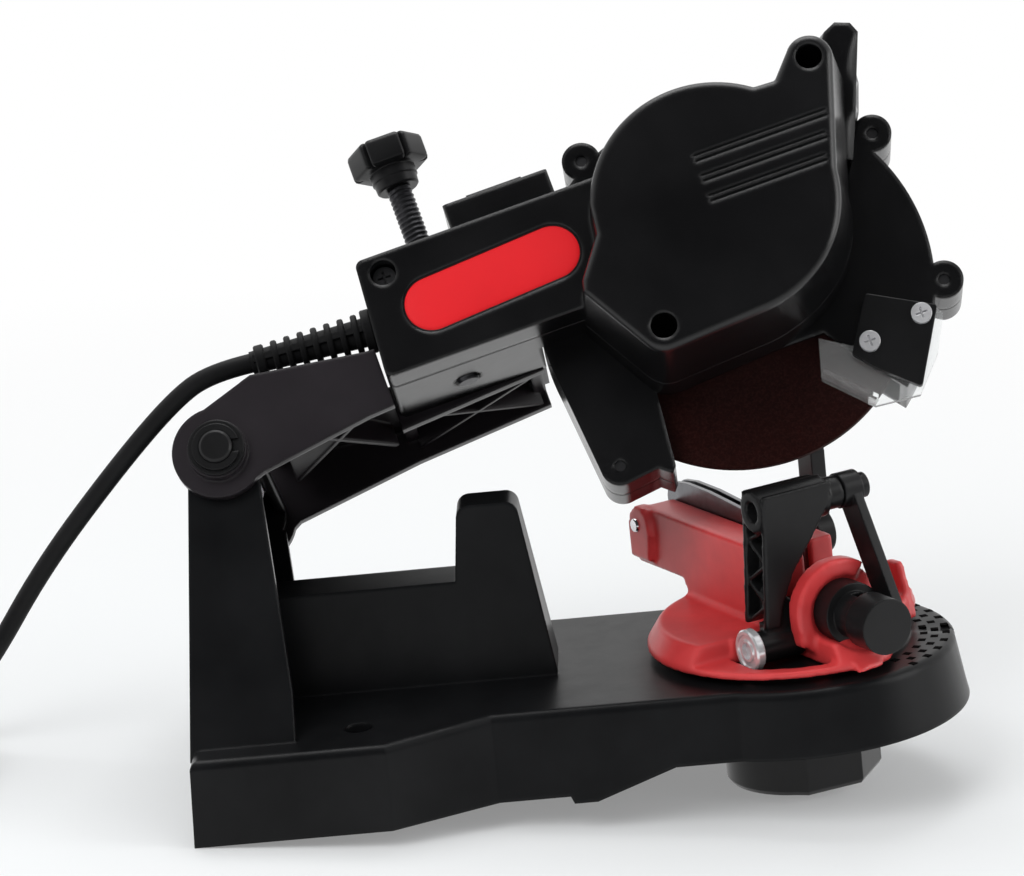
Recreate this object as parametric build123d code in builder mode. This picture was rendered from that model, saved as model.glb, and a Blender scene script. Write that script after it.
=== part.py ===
# Electric chainsaw sharpener, in millimetres, +Z up. Z = 0 is the bench plane and the
# origin lies midway between the two bench bolt holes. +X points at the turntable.
import os
from math import atan, cos, degrees, pi, radians, sin, sqrt, tan

from build123d import *

os.makedirs("parts", exist_ok=True)

standing = (Align.CENTER, Align.CENTER, Align.MIN)

# Fits
pin_fit = 0.05             # radial clearance on pins, shafts and threads
running_gap = 0.3          # between pieces that move past each other

# Walls
base_wall = 3.0
shell_wall = 2.5
carrier_wall = 4.0

# Base
base_rear = -50.5
base_height = 25.8
base_half_width = 67.0
base_shoulder = 8.5        # where the wide rear part ends
waist_start = 39.8
waist_half_width = 50.6
turn_x = 131.0             # turntable axis
front_radius = 53.9
side_draft = 0.055
front_draft = 0.165
bench_hole_spacing = 92.0
bench_hole_radius = 4.25
bench_boss_radius = 8.0
lip_depth = 2.2
lip_start = 61.0
lip_end = 69.0
raised_start = 93.0
raised_bottom = 5.9
pad_radius = 36.0
pad_height = 1.9
seat_gap = 0.3             # under the turntable

# Depth stop block on the base
block_front = 60.0
block_post_front = 51.5
block_post_rear = 33.5
block_low_top = 57.0
block_top = 80.0

# Head geometry
lean = 30.0                # lean of the wheel from the vertical
arm_rise = 15.0            # slope of the arm at rest
pivot_x = -35.3
pivot_y = 15.4
pivot_z = 88.8
pin_radius = 5.0
upright_near = 29.0
upright_far = -50.0
upright_top_radius = 11.5
spring_radius = 7.2
spring_wire = 1.8
cheek_inner = 30.0
cheek_outer = 34.0
far_outer = -55.0
cheek_radius = 14.0
hub_outer = 38.0
carrier_length = 102.0

# Arm housing
arm_start = 55.0
arm_bottom = 3.0
arm_top = 40.5
arm_back = -10.0
seam = 25.0
arm_face = 38.0
arm_corner = 2.5
badge_radius = 9.0
badge_recess = 0.8
badge_rear = 75.5
badge_front = 114.7
badge_rear_height = 20.2
badge_front_height = 22.6
screw_head_radius = 3.6
screw_radius = 1.75

# Wheel and motor
wheel_reach = 164.5
wheel_radius = 54.0
wheel_bore = 11.5
wheel_half_thickness = 1.6
flange_radius = 17.0
flange_outer = 4.6
arbor_radius = 4.0
gear_module = 1.0
pinion_teeth = 10
gear_teeth = 20
gear_start = 18.3
gear_width = 4.0
cover_radius = 37.2
cover_face = 58.0
cover_draft = 2.0
cover_edge = 2.5
motor_radius = 24.0
motor_start = 26.0
motor_end = 52.0
motor_shaft_radius = 2.5
bearing_radius = 8.0
plate_start = 22.7
plate_thickness = 3.0

# Wheel guard
guard_radius = 61.0
guard_half_depth = 12.0
guard_plate = 2.0
lug_radius = 6.0

# Depth screw
depth_reach = 78.5
depth_across = 7.0
depth_screw_radius = 3.0
depth_tip = 2.0
depth_knob_bottom = 74.5
depth_knob_height = 8.5
depth_knob_radius = 12.0

# Switch
switch_start = 88.7
switch_end = 122.3
switch_near = 30.0
switch_far = 4.0
switch_height = 10.3
stem_middle = 101.0
stem_length = 15.0
stem_across = 16.0
stem_width = 14.0
stem_depth = 6.0

# Vice on the turntable
vice_turn = 30.0           # setting of the vice at rest
disc_radius = 44.0
disc_bottom = base_height + pad_height + seat_gap
disc_top = disc_bottom + 8
jaw_tail = -66.0
jaw_front = 15.0
jaw_near = -14.0
jaw_far = 11.0
jaw_top = disc_top + 24
overhang_bottom = disc_top + 5
overhang_start = -39.0
plate_top = jaw_top + 4.5
plate_thick = 1.5
chain_gap = 1.8
guide_radius = 2.5
clamp_radius = 4.0
clamp_knob_radius = 22.5
clamp_knob_bottom = -16.3
clamp_knob_top = 2.5

# Chain stop
bracket_back = 18.0
bracket_front = 22.0
hinge_z = disc_top - 2
tube_z = hinge_z + 42
tube_radius = 5.0
stop_near = -25.0
stop_far = 8.0
adjuster_z = hinge_z + 8.5
adjuster_radius = 9.5

# Supply cord
cord_radius = 3.0
stand_slope = 0.1025       # slope, in this frame, of the surface under the free-standing sharpener
coil_x = -168.0
coil_y = -18.0
coil_mean_radius = 36.0
coil_half_width = 9.5
coil_height = 18.0

# Seats in the arm
depth_boss_bottom = 3.0
depth_nut_bottom = 28.0
depth_nut_radius = 5.0
relief_root_radius = 5.4
relief_tip_radius = 3.6
relief_start = (57.0, 25.3)
relief_end = (17.8, 28.6)
relief_across = 15.0

# Planes. In head_plane X runs along the arm, Y across it and Z out of the wheel's near face.
across = Vector(0, -cos(radians(lean)), sin(radians(lean)))
up_lean = Vector(0, sin(radians(lean)), cos(radians(lean)))
along_arm = Vector(1, 0, 0) * cos(radians(arm_rise)) + up_lean * sin(radians(arm_rise))
over_arm = up_lean * cos(radians(arm_rise)) - Vector(1, 0, 0) * sin(radians(arm_rise))
pivot = Vector(pivot_x, pivot_y, pivot_z)
upright_plane = Plane(origin=pivot, x_dir=(1, 0, 0), z_dir=across)
head_plane = Plane(origin=pivot, x_dir=along_arm, z_dir=across)
wheel_plane = Plane(origin=pivot + along_arm * wheel_reach, x_dir=along_arm, z_dir=across)
gear_distance = gear_module * (pinion_teeth + gear_teeth) / 2
motor_plane = Plane(origin=wheel_plane.origin + over_arm * gear_distance, x_dir=along_arm, z_dir=across)
depth_plane = Plane(origin=pivot + along_arm * depth_reach + across * depth_across,
                    x_dir=along_arm, z_dir=over_arm)
arm_top_plane = Plane(origin=pivot + over_arm * arm_top, x_dir=along_arm, z_dir=over_arm)
relief_root = pivot + along_arm * relief_start[0] + over_arm * relief_start[1] + across * relief_across
cord_exit = pivot + along_arm * relief_end[0] + over_arm * relief_end[1] + across * relief_across
relief_plane = Plane(origin=relief_root, z_dir=cord_exit - relief_root)
relief_length = (cord_exit - relief_root).length
along_jaw = Vector(sin(radians(vice_turn)), -cos(radians(vice_turn)), 0)
across_jaw = Vector(cos(radians(vice_turn)), sin(radians(vice_turn)), 0)
turn_axis = Vector(turn_x, 0, 0)
vice_plane = Plane(origin=turn_axis, x_dir=along_jaw, z_dir=(0, 0, 1))
vice_side = Plane(origin=turn_axis, x_dir=along_jaw, z_dir=-across_jaw)
vice_front = Plane(origin=turn_axis, x_dir=across_jaw, z_dir=along_jaw)

# Upright: two leaning side walls joined by a rear wall, open at the front.
upright_rear = 14.6
upright_front = 17.0
with BuildPart() as upright:
    with BuildSketch(upright_plane.offset(upright_far)):
        with BuildLine():
            Polyline((-10.1, -4.8), (-upright_rear, -92), (-upright_rear, -130), (upright_front, -130),
                     (upright_front, -73.6), (11, -6), (0, 0), (-10.1, -4.8))
        make_face()
        Circle(upright_top_radius)
    extrude(amount=upright_near - upright_far)
    with BuildSketch(upright_plane.offset(upright_far + carrier_wall)):
        with BuildLine():
            Polyline((-6.6, -4.8), (-upright_rear + 3.5, -92), (-upright_rear + 3.5, -130), (40, -130),
                     (40, 0), (0, 0), (-6.6, -4.8))
        make_face()
        Circle(upright_top_radius - base_wall)
    extrude(amount=upright_near - upright_far - 2 * carrier_wall, mode=Mode.SUBTRACT)
    with BuildSketch(upright_plane.offset(upright_far)):
        Circle(pin_radius + pin_fit)
    extrude(amount=upright_near - upright_far, mode=Mode.SUBTRACT)
    split(bisect_by=Plane.XY.offset(base_height - base_wall), keep=Keep.TOP)


def stop_block(inset):
    # The stop post and its low wall, or their core when an inset is given.
    with BuildPart() as block:
        with BuildSketch(Plane.XZ):
            with BuildLine():
                Polyline((pivot_x - 11, base_height - base_wall), (pivot_x - 11, block_low_top),
                         (block_post_rear - 2.5, block_low_top), (block_post_rear, block_top),
                         (block_post_front, block_top), (block_front, base_height - base_wall), close=True)
            make_face()
            if inset:
                offset(amount=-inset, kind=Kind.INTERSECTION)
            else:
                fillet(vertices().sort_by(Axis.Z)[-4:], radius=4)
        extrude(amount=40, both=True)
        with BuildSketch(Plane.YZ):
            with BuildLine():
                Polyline((-12, base_height - base_wall), (11, base_height - base_wall), (7, block_top + 5),
                         (-6, block_top + 5), close=True)
            make_face()
            if inset:
                offset(amount=-inset, kind=Kind.INTERSECTION)
        extrude(amount=150, both=True, mode=Mode.INTERSECT)
    return block.part


def base_tub(bottom, top, inset):
    # The tapered plan of the base between two levels, moved in by an inset.
    with BuildPart() as tub:
        for level in (bottom, top):
            side = base_half_width - inset - side_draft * level
            waist = waist_half_width - inset - front_draft * level
            front = front_radius - inset - front_draft * level
            tangent_x = turn_x - sqrt(front ** 2 - waist ** 2)
            rear = base_rear + inset + side_draft * max(level, 0)
            with BuildSketch(Plane.XY.offset(level)):
                with BuildLine():
                    Polyline((tangent_x, waist), (waist_start, waist), (base_shoulder, side), (rear, side),
                             (rear, -side), (base_shoulder, -side), (waist_start, -waist),
                             (tangent_x, -waist))
                    ThreePointArc((tangent_x, -waist), (turn_x + front, 0), (tangent_x, waist))
                make_face()
        loft()
    return tub.part


# Base moulding: hollow tub, upright, stop block, turntable pad and bolt bosses in one piece.
clamp_boss_bottom = clamp_knob_top + 2.0
block_shell = stop_block(0)
block_core = stop_block(base_wall)
tub_outer = base_tub(-lip_depth, base_height, 0)
tub_inner = base_tub(-lip_depth - 1, base_height - base_wall, base_wall)
with BuildPart() as base_body:
    add(tub_outer)
    fillet(base_body.edges().group_by(Axis.Z)[-1], radius=2.5)
    add(tub_inner, mode=Mode.SUBTRACT)
    with BuildSketch(Plane.XZ):
        with BuildLine():
            Polyline((base_rear - 10, -10), (base_rear - 10, 0), (lip_start, 0), (lip_start + 1, -lip_depth),
                     (lip_end, -lip_depth), (raised_start, raised_bottom), (turn_x + 70, raised_bottom),
                     (turn_x + 70, -10), close=True)
        make_face()
    extrude(amount=base_half_width + 10, both=True, mode=Mode.SUBTRACT)
    add(upright.part)
    add(block_shell)
    with Locations((turn_x, 0, base_height - 0.5)):
        Cylinder(pad_radius, pad_height + 0.5, align=standing)
    with Locations((turn_x, 0, clamp_boss_bottom)):
        Cylinder(12, base_height - base_wall + 1 - clamp_boss_bottom, align=standing)
    with Locations((0, bench_hole_spacing / 2, 0), (0, -bench_hole_spacing / 2, 0)):
        Cylinder(bench_boss_radius, base_height - base_wall + 1, align=standing)
    with Locations((0, 0, base_height / 2 + 4)):
        Box(2 * abs(base_rear) - 3, 2.0, base_height - 2 * base_wall - 6)
    add(block_core, mode=Mode.SUBTRACT)
    with Locations((turn_x, 0, 0)):
        Cylinder(clamp_radius + running_gap, 60, mode=Mode.SUBTRACT)
    with Locations((0, bench_hole_spacing / 2, 0), (0, -bench_hole_spacing / 2, 0)):
        Cylinder(bench_hole_radius, 60, mode=Mode.SUBTRACT)
base_body.part.label = "base_body"
export_step(base_body.part, "parts/base_body.step")

# Pivot pin with its washers, circlips and the return spring round it.
pin_near = 42.0
pin_far = far_outer - 5
with BuildPart(upright_plane) as pivot_pin:
    with Locations((0, 0, pin_far)):
        Cylinder(pin_radius, pin_near - pin_far, align=standing)
    chamfer(pivot_pin.edges().filter_by(GeomType.CIRCLE), length=0.8)
pivot_pin.part.label = "pivot_pin"
export_step(pivot_pin.part, "parts/pivot_pin.step")

with BuildPart(upright_plane) as pivot_washers:
    for level in (hub_outer + running_gap, far_outer - running_gap - 1.2):
        with Locations((0, 0, level)):
            Cylinder(8.5, 1.2, align=standing)
            Cylinder(pin_radius, 1.2, align=standing, mode=Mode.SUBTRACT)
pivot_washers.part.label = "pivot_washers"
export_step(pivot_washers.part, "parts/pivot_washers.step")

with BuildPart(upright_plane) as pivot_circlips:
    for level in (hub_outer + running_gap + 1.2, far_outer - running_gap - 2.4):
        with Locations((0, 0, level)):
            Cylinder(7.2, 1.2, align=standing)
            Cylinder(pin_radius, 1.2, align=standing, mode=Mode.SUBTRACT)
            with Locations((7, 0, 0)):
                Box(6, 4, 1.2, align=standing, mode=Mode.SUBTRACT)
pivot_circlips.part.label = "pivot_circlips"
export_step(pivot_circlips.part, "parts/pivot_circlips.step")

spring_length = 36.0
spring_path = upright_plane.offset(-spring_length / 2).location * Helix(
    pitch=spring_wire * 2, height=spring_length, radius=spring_radius)
with BuildPart() as return_spring:
    with BuildSketch(Plane(origin=spring_path @ 0, z_dir=spring_path % 0)):
        Circle(spring_wire / 2)
    sweep(path=spring_path)
return_spring.part.label = "return_spring"
export_step(return_spring.part, "parts/return_spring.step")

# Carrier arm: two cheeks outside the upright, a top web and a ribbed box beside the housing.
web = 3.5
cheek_cut = arm_start - 0.5
carrier_screw_places = ((66, 7.5), (94, 7.5))
with BuildPart() as carrier_arm:
    with BuildSketch(head_plane.offset(cheek_inner)):
        with BuildLine():
            Polyline((0, 14), (16.6, 19.4), (51.5, 14.1), (cheek_cut, 14), (cheek_cut, -4.6),
                     (46.6, -5.1), (11.5, -10.2), (0, -14), close=True)
        make_face()
        Circle(cheek_radius)
    extrude(amount=cheek_outer - cheek_inner)
    with BuildSketch(head_plane.offset(cheek_outer)):
        Circle(9)
    extrude(amount=hub_outer - cheek_outer)
    with BuildSketch(head_plane.offset(far_outer)):
        with BuildLine():
            Polyline((0, 14), (16.6, 19.4), (51.5, 14.1), (carrier_length, 13.9), (carrier_length, 2.6),
                     (56.6, -0.5), (14.4, -5.8), (0, -14), close=True)
        make_face()
        Circle(cheek_radius)
    extrude(amount=carrier_wall)
    with BuildSketch(head_plane.offset(far_outer)):
        with BuildLine():
            Polyline((13, 18.3), (16.6, 19.4), (51.5, 14.1), (cheek_cut, 14), (cheek_cut, 14 - web),
                     (51.5, 14.1 - web), (17, 19 - web), (13, 18 - web), close=True)
        make_face()
    extrude(amount=cheek_outer - far_outer)
    with BuildSketch(head_plane.offset(far_outer)):
        with Locations(((cheek_cut + carrier_length) / 2, 14 - web / 2)):
            Rectangle(carrier_length - cheek_cut + 4, web)
    extrude(amount=arm_back - far_outer)
    with BuildSketch(head_plane.offset(far_outer)):
        with Locations((carrier_length - 2, 10.2), (57, 9.5)):
            Rectangle(carrier_wall, 6)
    extrude(amount=arm_back - far_outer)
    with BuildSketch(head_plane.offset(arm_back - carrier_wall)):
        with BuildLine():
            Polyline((cheek_cut, 12), (carrier_length, 12), (carrier_length, 2.6), (cheek_cut, -0.5), close=True)
        make_face()
    extrude(amount=carrier_wall)
    with BuildSketch(Plane(origin=pivot, x_dir=along_arm, z_dir=over_arm).offset(3.2)):
        rib_bay = carrier_length - 60
        for turn in (41, -41):
            with Locations(Location((79, 32.5, 0), (0, 0, turn))):
                Rectangle(rib_bay * 1.28, 1.6)
        for turn in (60, -60):
            with Locations(Location((35, 10, 0), (0, 0, turn))):
                Rectangle(66, 1.6)
    extrude(amount=9)
    with BuildSketch(head_plane.offset(far_outer)):
        Circle(pin_radius + pin_fit)
    extrude(amount=hub_outer - far_outer, mode=Mode.SUBTRACT)
    with BuildSketch(head_plane.offset(arm_back - carrier_wall)):
        with Locations(*carrier_screw_places):
            Circle(screw_radius)
    extrude(amount=carrier_wall, mode=Mode.SUBTRACT)
carrier_arm.part.label = "carrier_arm"
export_step(carrier_arm.part, "parts/carrier_arm.step")


def drum_point(angle):
    # A point of the round drum of the motor cover.
    return (wheel_reach + cover_radius * cos(radians(angle)), gear_distance + cover_radius * sin(radians(angle)))


def cover_outline():
    # Plan of the motor cover on its face: a round drum, a screw ear and a lower corner.
    drum_left = drum_point(161)
    drum_neck = drum_point(52)
    drum_right = drum_point(-5)
    drum_bottom = drum_point(-85)
    with BuildSketch() as outline:
        with BuildLine():
            ThreePointArc(drum_left, drum_point(105), drum_neck)
            Polyline(drum_neck, (194, 44), (ear_x - 5.7, ear_y + 4.1))
            ThreePointArc((ear_x - 5.7, ear_y + 4.1), (ear_x + 0.5, ear_y + 7), (ear_x + 6.9, ear_y - 1.2))
            Line((ear_x + 6.9, ear_y - 1.2), drum_right)
            ThreePointArc(drum_right, drum_point(-45), drum_bottom)
            Line(drum_bottom, (corner_x, corner_y - 7.5))
            ThreePointArc((corner_x, corner_y - 7.5), (corner_x - 4.1, corner_y - 6.3),
                          (corner_x - 6.6, corner_y - 3.6))
            Polyline((corner_x - 6.6, corner_y - 3.6), (118.3, 1.8), (119.2, 5.4), (128, 17.5), drum_left)
        make_face()
        fillet(outline.vertices(), radius=1.5)
    return outline.sketch


def arm_outline(inset, end):
    # Side view of the arm housing.
    with BuildSketch() as outline:
        with BuildLine():
            Polyline((arm_start + inset, arm_bottom + inset), (end, arm_bottom + inset),
                     (end, arm_top - inset), (arm_start + 2.6 + inset, arm_top - inset), close=True)
        make_face()
        fillet(outline.vertices().sort_by(Axis.X)[:2], radius=arm_corner)
    return outline.sketch


ear_x = 206.1
ear_y = 47.2
corner_x = 137.1
corner_y = -16.4
arm_end = 136.0
case_screws = ((64.7, 34.5), (ear_x, ear_y), (corner_x, corner_y))
badge_tilt = degrees(atan((badge_front_height - badge_rear_height) / (badge_front - badge_rear)))
badge_place = Location(((badge_rear + badge_front) / 2, (badge_rear_height + badge_front_height) / 2, 0),
                       (0, 0, badge_tilt))
seam_growth = (cover_face - seam) * tan(radians(cover_draft))
cover_plan = cover_outline()
arm_plan = arm_outline(0, arm_end)
arm_hollow = arm_outline(shell_wall, arm_end)

# Front half of the housing: arm front and motor cover in one moulding.
with BuildPart() as front_shell:
    with BuildSketch(head_plane.offset(seam)):
        add(cover_plan)
        offset(amount=seam_growth, kind=Kind.ARC)
    extrude(amount=cover_face - seam, taper=cover_draft)
    fillet(front_shell.faces().sort_by(Axis(pivot, across))[-1].edges(), radius=cover_edge)
    with BuildSketch(head_plane.offset(seam)):
        add(arm_plan)
    extrude(amount=arm_face - seam)
    with BuildSketch(head_plane.offset(seam)):
        add(cover_plan)
        offset(amount=-shell_wall, kind=Kind.ARC)
    extrude(amount=cover_face - shell_wall - seam, mode=Mode.SUBTRACT)
    with BuildSketch(head_plane.offset(seam)):
        add(arm_hollow)
    extrude(amount=arm_face - shell_wall - seam, mode=Mode.SUBTRACT)
    for x, y in case_screws:
        top = arm_face if x < arm_end - 10 else cover_face
        with BuildSketch(head_plane.offset(seam)):
            with Locations((x, y)):
                Circle(screw_head_radius + 2)
        extrude(amount=top - seam - 1)
        with BuildSketch(head_plane.offset(seam)):
            with Locations((x, y)):
                Circle(screw_radius + 0.25)
        extrude(amount=top - seam, mode=Mode.SUBTRACT)
        with BuildSketch(head_plane.offset(seam + 5)):
            with Locations((x, y)):
                Circle(screw_head_radius + 0.4)
        extrude(amount=top - seam, mode=Mode.SUBTRACT)
    with BuildSketch(head_plane.offset(arm_face - badge_recess)):
        with Locations(badge_place):
            SlotCenterToCenter(badge_front - badge_rear, 2 * badge_radius)
    extrude(amount=badge_recess + 1, mode=Mode.SUBTRACT)
    for row in range(3):
        for side in (-0.9, 0.9):
            with BuildSketch(head_plane.offset(cover_face - 0.7)):
                with Locations(((163 + 205 - 2.5 * row) / 2, 29 - 6.6 * row + side)):
                    SlotOverall(42 - 2.5 * row, 0.9)
            extrude(amount=2, mode=Mode.SUBTRACT)
front_shell.part.label = "front_shell"
export_step(front_shell.part, "parts/front_shell.step")

# Rear half of the housing: arm back, floor under the motor and the lift handle.
guard_clearance = 0.5
with BuildPart() as rear_shell:
    with BuildSketch(head_plane.offset(guard_half_depth)):
        add(cover_plan)
        offset(amount=seam_growth, kind=Kind.ARC)
    extrude(amount=seam - guard_half_depth)
    with BuildSketch(head_plane.offset(guard_half_depth)):
        with BuildLine():
            Polyline((198, 30), (208, 22), (219.7, 39.9), (223, 48.8), (224.3, 60.2), (222.8, 64), (218.2, 65.8),
                     (214, 64), (209.5, 57), close=True)
        make_face()
    with BuildSketch(head_plane.offset(seam)):
        with BuildLine():
            Polyline((198, 30), (208, 22), (214.5, 36.8), (217.8, 45.2), (223.9, 60.2), (222.6, 63.8), (218.2, 65.6),
                     (214.3, 63.8), (210, 57), close=True)
        make_face()
    loft(ruled=True)
    with BuildSketch(head_plane.offset(arm_back)):
        add(arm_plan)
    extrude(amount=seam - arm_back)
    with BuildSketch(wheel_plane.offset(arm_back - 1)):
        Circle(guard_radius + guard_clearance)
    extrude(amount=guard_half_depth - arm_back + 1, mode=Mode.SUBTRACT)
    with BuildSketch(head_plane.offset(guard_half_depth + shell_wall)):
        add(cover_plan)
        offset(amount=seam_growth - shell_wall, kind=Kind.ARC)
    extrude(amount=seam - guard_half_depth, mode=Mode.SUBTRACT)
    with BuildSketch(head_plane.offset(guard_half_depth + shell_wall)):
        add(arm_hollow)
    extrude(amount=seam - guard_half_depth, mode=Mode.SUBTRACT)
    with BuildSketch(head_plane.offset(arm_back + shell_wall)):
        add(arm_hollow)
        with Locations((wheel_reach, 0)):
            Circle(guard_radius + guard_clearance + shell_wall, mode=Mode.SUBTRACT)
    extrude(amount=seam - arm_back, mode=Mode.SUBTRACT)
    for x, y in case_screws:
        floor = arm_back if x < arm_end - 10 else guard_half_depth
        with BuildSketch(head_plane.offset(floor)):
            with Locations((x, y)):
                Circle(screw_head_radius + 1.4)
        extrude(amount=seam - floor)
        with BuildSketch(head_plane.offset(floor + 2)):
            with Locations((x, y)):
                Circle(screw_radius)
        extrude(amount=seam - floor, mode=Mode.SUBTRACT)
    with BuildSketch(head_plane.offset(arm_back)):
        with Locations(*carrier_screw_places):
            Circle(screw_radius)
    extrude(amount=shell_wall, mode=Mode.SUBTRACT)
    with BuildSketch(wheel_plane.offset(guard_half_depth)):
        Circle(bearing_radius + shell_wall)
    extrude(amount=6)
    with BuildSketch(wheel_plane.offset(guard_half_depth + 0.6)):
        Circle(bearing_radius)
    extrude(amount=6, mode=Mode.SUBTRACT)
    with BuildSketch(wheel_plane.offset(guard_half_depth - 1)):
        Circle(arbor_radius + 1.5)
    extrude(amount=6, mode=Mode.SUBTRACT)
    with Locations(depth_plane.offset(depth_boss_bottom)):
        Cylinder(depth_screw_radius + 2.4, arm_bottom + 1 - depth_boss_bottom, align=standing)
    with Locations(depth_plane.offset(depth_nut_bottom)):
        Cylinder(depth_nut_radius + 2, arm_top - 1 - depth_nut_bottom, align=standing)
    with Locations(depth_plane.offset(depth_boss_bottom - 1)):
        Cylinder(depth_screw_radius + running_gap, arm_top + 3 - depth_boss_bottom, align=standing,
                 mode=Mode.SUBTRACT)
    with Locations(depth_plane.offset(depth_nut_bottom - 1)):
        Cylinder(depth_nut_radius, arm_top + 3 - depth_nut_bottom, align=standing, mode=Mode.SUBTRACT)
    with BuildSketch(arm_top_plane.offset(-shell_wall - 1)):
        with Locations((stem_middle, -stem_across)):
            Rectangle(stem_length, stem_width)
    extrude(amount=6, mode=Mode.SUBTRACT)
    with Locations(relief_plane.offset(-6)):
        Cylinder(relief_root_radius, 12, align=standing, mode=Mode.SUBTRACT)
rear_shell.part.label = "rear_shell"
export_step(rear_shell.part, "parts/rear_shell.step")

# Case screws, in the bores of the front half.
with BuildPart() as housing_screws:
    for x, y in case_screws:
        with BuildSketch(head_plane.offset(seam + 5)):
            with Locations((x, y)):
                Circle(screw_head_radius)
        extrude(amount=2.2)
        with BuildSketch(head_plane.offset(seam - 8)):
            with Locations((x, y)):
                Circle(screw_radius)
        extrude(amount=14)
        with BuildSketch(head_plane.offset(seam + 6)):
            with Locations((x, y)):
                Rectangle(4, 0.8)
                Rectangle(0.8, 4)
        extrude(amount=2, mode=Mode.SUBTRACT)
housing_screws.part.label = "housing_screws"
export_step(housing_screws.part, "parts/housing_screws.step")

# Bare red plate in the recess of the arm.
with BuildPart() as badge_plate:
    with BuildSketch(head_plane.offset(arm_face - badge_recess)):
        with Locations(badge_place):
            SlotCenterToCenter(badge_front - badge_rear, 2 * badge_radius - 0.2)
    extrude(amount=badge_recess - 0.2)
badge_plate.part.label = "badge_plate"
export_step(badge_plate.part, "parts/badge_plate.step")

# Switch block, rocker and circuit board.
switch_middle = (switch_start + switch_end) / 2
switch_depth = (switch_near + switch_far) / 2
rocker_radius = 9.0
with BuildPart() as switch_body:
    with BuildSketch(arm_top_plane):
        with Locations((switch_middle, -switch_depth)):
            Rectangle(switch_end - switch_start, switch_near - switch_far)
    extrude(amount=switch_height)
    fillet(switch_body.edges().filter_by(Axis(pivot, over_arm)), radius=1.2)
    with BuildSketch(arm_top_plane.offset(-stem_depth)):
        with Locations((stem_middle, -stem_across)):
            Rectangle(stem_length - 0.4, stem_width - 0.4)
    extrude(amount=stem_depth + 0.5)
    with BuildSketch(wheel_plane.offset(-guard_half_depth)):
        Circle(guard_radius + guard_clearance)
    extrude(amount=2 * guard_half_depth + guard_clearance, mode=Mode.SUBTRACT)
    with BuildSketch(head_plane.offset(switch_far + 4)):
        with Locations((switch_middle, arm_top + switch_height)):
            Circle(rocker_radius + running_gap)
    extrude(amount=switch_near - switch_far - 8, mode=Mode.SUBTRACT)
switch_body.part.label = "switch_body"
export_step(switch_body.part, "parts/switch_body.step")

rocker_start = switch_far + 4 + running_gap
rocker_end = switch_near - 4 - running_gap
with BuildPart() as switch_rocker:
    with BuildSketch(head_plane.offset(rocker_start)):
        with Locations((switch_middle, arm_top + switch_height)):
            Circle(rocker_radius)
        with Locations((switch_middle, arm_top + switch_height + rocker_radius + 1.8)):
            Rectangle(4 * rocker_radius, 2 * rocker_radius, mode=Mode.SUBTRACT)
    extrude(amount=rocker_end - rocker_start)
switch_rocker.part.label = "switch_rocker"
export_step(switch_rocker.part, "parts/switch_rocker.step")

with BuildPart() as circuit_board:
    with BuildSketch(head_plane.offset(arm_back + shell_wall + 2)):
        with Locations((80, 16)):
            Rectangle(32, 14)
    extrude(amount=1.6)
    with BuildSketch(head_plane.offset(arm_back + shell_wall + 3.6)):
        with Locations((68, 16)):
            Circle(3.5)
        with Locations((91, 16)):
            Rectangle(7, 9)
    extrude(amount=6)
circuit_board.part.label = "circuit_board"
export_step(circuit_board.part, "parts/circuit_board.step")

# Ribbed strain relief of the supply cord.
with BuildPart(relief_plane) as strain_relief:
    with Locations((0, 0, -6)):
        Cylinder(relief_root_radius - 0.05, 6, align=standing)
    Cone(relief_root_radius, relief_tip_radius, relief_length, align=standing)
    for rib in range(9):
        with Locations((0, 0, 2.5 + 4 * rib)):
            Cylinder(relief_root_radius + 0.9 - 0.22 * rib, 1.8, align=standing)
strain_relief.part.label = "strain_relief"
export_step(strain_relief.part, "parts/strain_relief.step")

# Motor: can, magnets, end cap, armature and shaft.
with BuildPart(motor_plane) as motor_can:
    with Locations((0, 0, motor_start)):
        Cylinder(motor_radius, motor_end - motor_start, align=standing)
    with Locations((0, 0, motor_start + 1.5)):
        Cylinder(motor_radius - 1.2, motor_end - motor_start, align=standing, mode=Mode.SUBTRACT)
    with Locations((0, 0, motor_start)):
        Cylinder(motor_shaft_radius + pin_fit, 10, mode=Mode.SUBTRACT)
motor_can.part.label = "motor_can"
export_step(motor_can.part, "parts/motor_can.step")

with BuildPart(motor_plane) as motor_magnets:
    with Locations((0, 0, motor_start + 4)):
        Cylinder(motor_radius - 1.2, 17, align=standing)
        Cylinder(motor_radius - 4.6, 17, align=standing, mode=Mode.SUBTRACT)
        Box(60, 9, 17, align=standing, mode=Mode.SUBTRACT)
motor_magnets.part.label = "motor_magnets"
export_step(motor_magnets.part, "parts/motor_magnets.step")

with BuildPart(motor_plane) as motor_end_cap:
    with Locations((0, 0, motor_end - 2)):
        Cylinder(motor_radius - 1.25, 2, align=standing)
    with Locations((0, 0, motor_end)):
        Cylinder(motor_radius - 3, 1.5, align=standing)
    with Locations((0, 0, motor_end)):
        Cylinder(motor_shaft_radius + pin_fit, 10, mode=Mode.SUBTRACT)
motor_end_cap.part.label = "motor_end_cap"
export_step(motor_end_cap.part, "parts/motor_end_cap.step")

with BuildPart(motor_plane) as armature:
    with BuildSketch(motor_plane.offset(motor_start + 5)):
        Circle(motor_radius - 5.2)
        with PolarLocations(motor_radius - 5.2, 7):
            Rectangle(9, 1.6, mode=Mode.SUBTRACT)
        Circle(motor_shaft_radius, mode=Mode.SUBTRACT)
    extrude(amount=14)
    with Locations((0, 0, motor_start + 19.2)):
        Cylinder(6, 3.6, align=standing)
        Cylinder(motor_shaft_radius, 3.6, align=standing, mode=Mode.SUBTRACT)
armature.part.label = "armature"
export_step(armature.part, "parts/armature.step")

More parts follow.
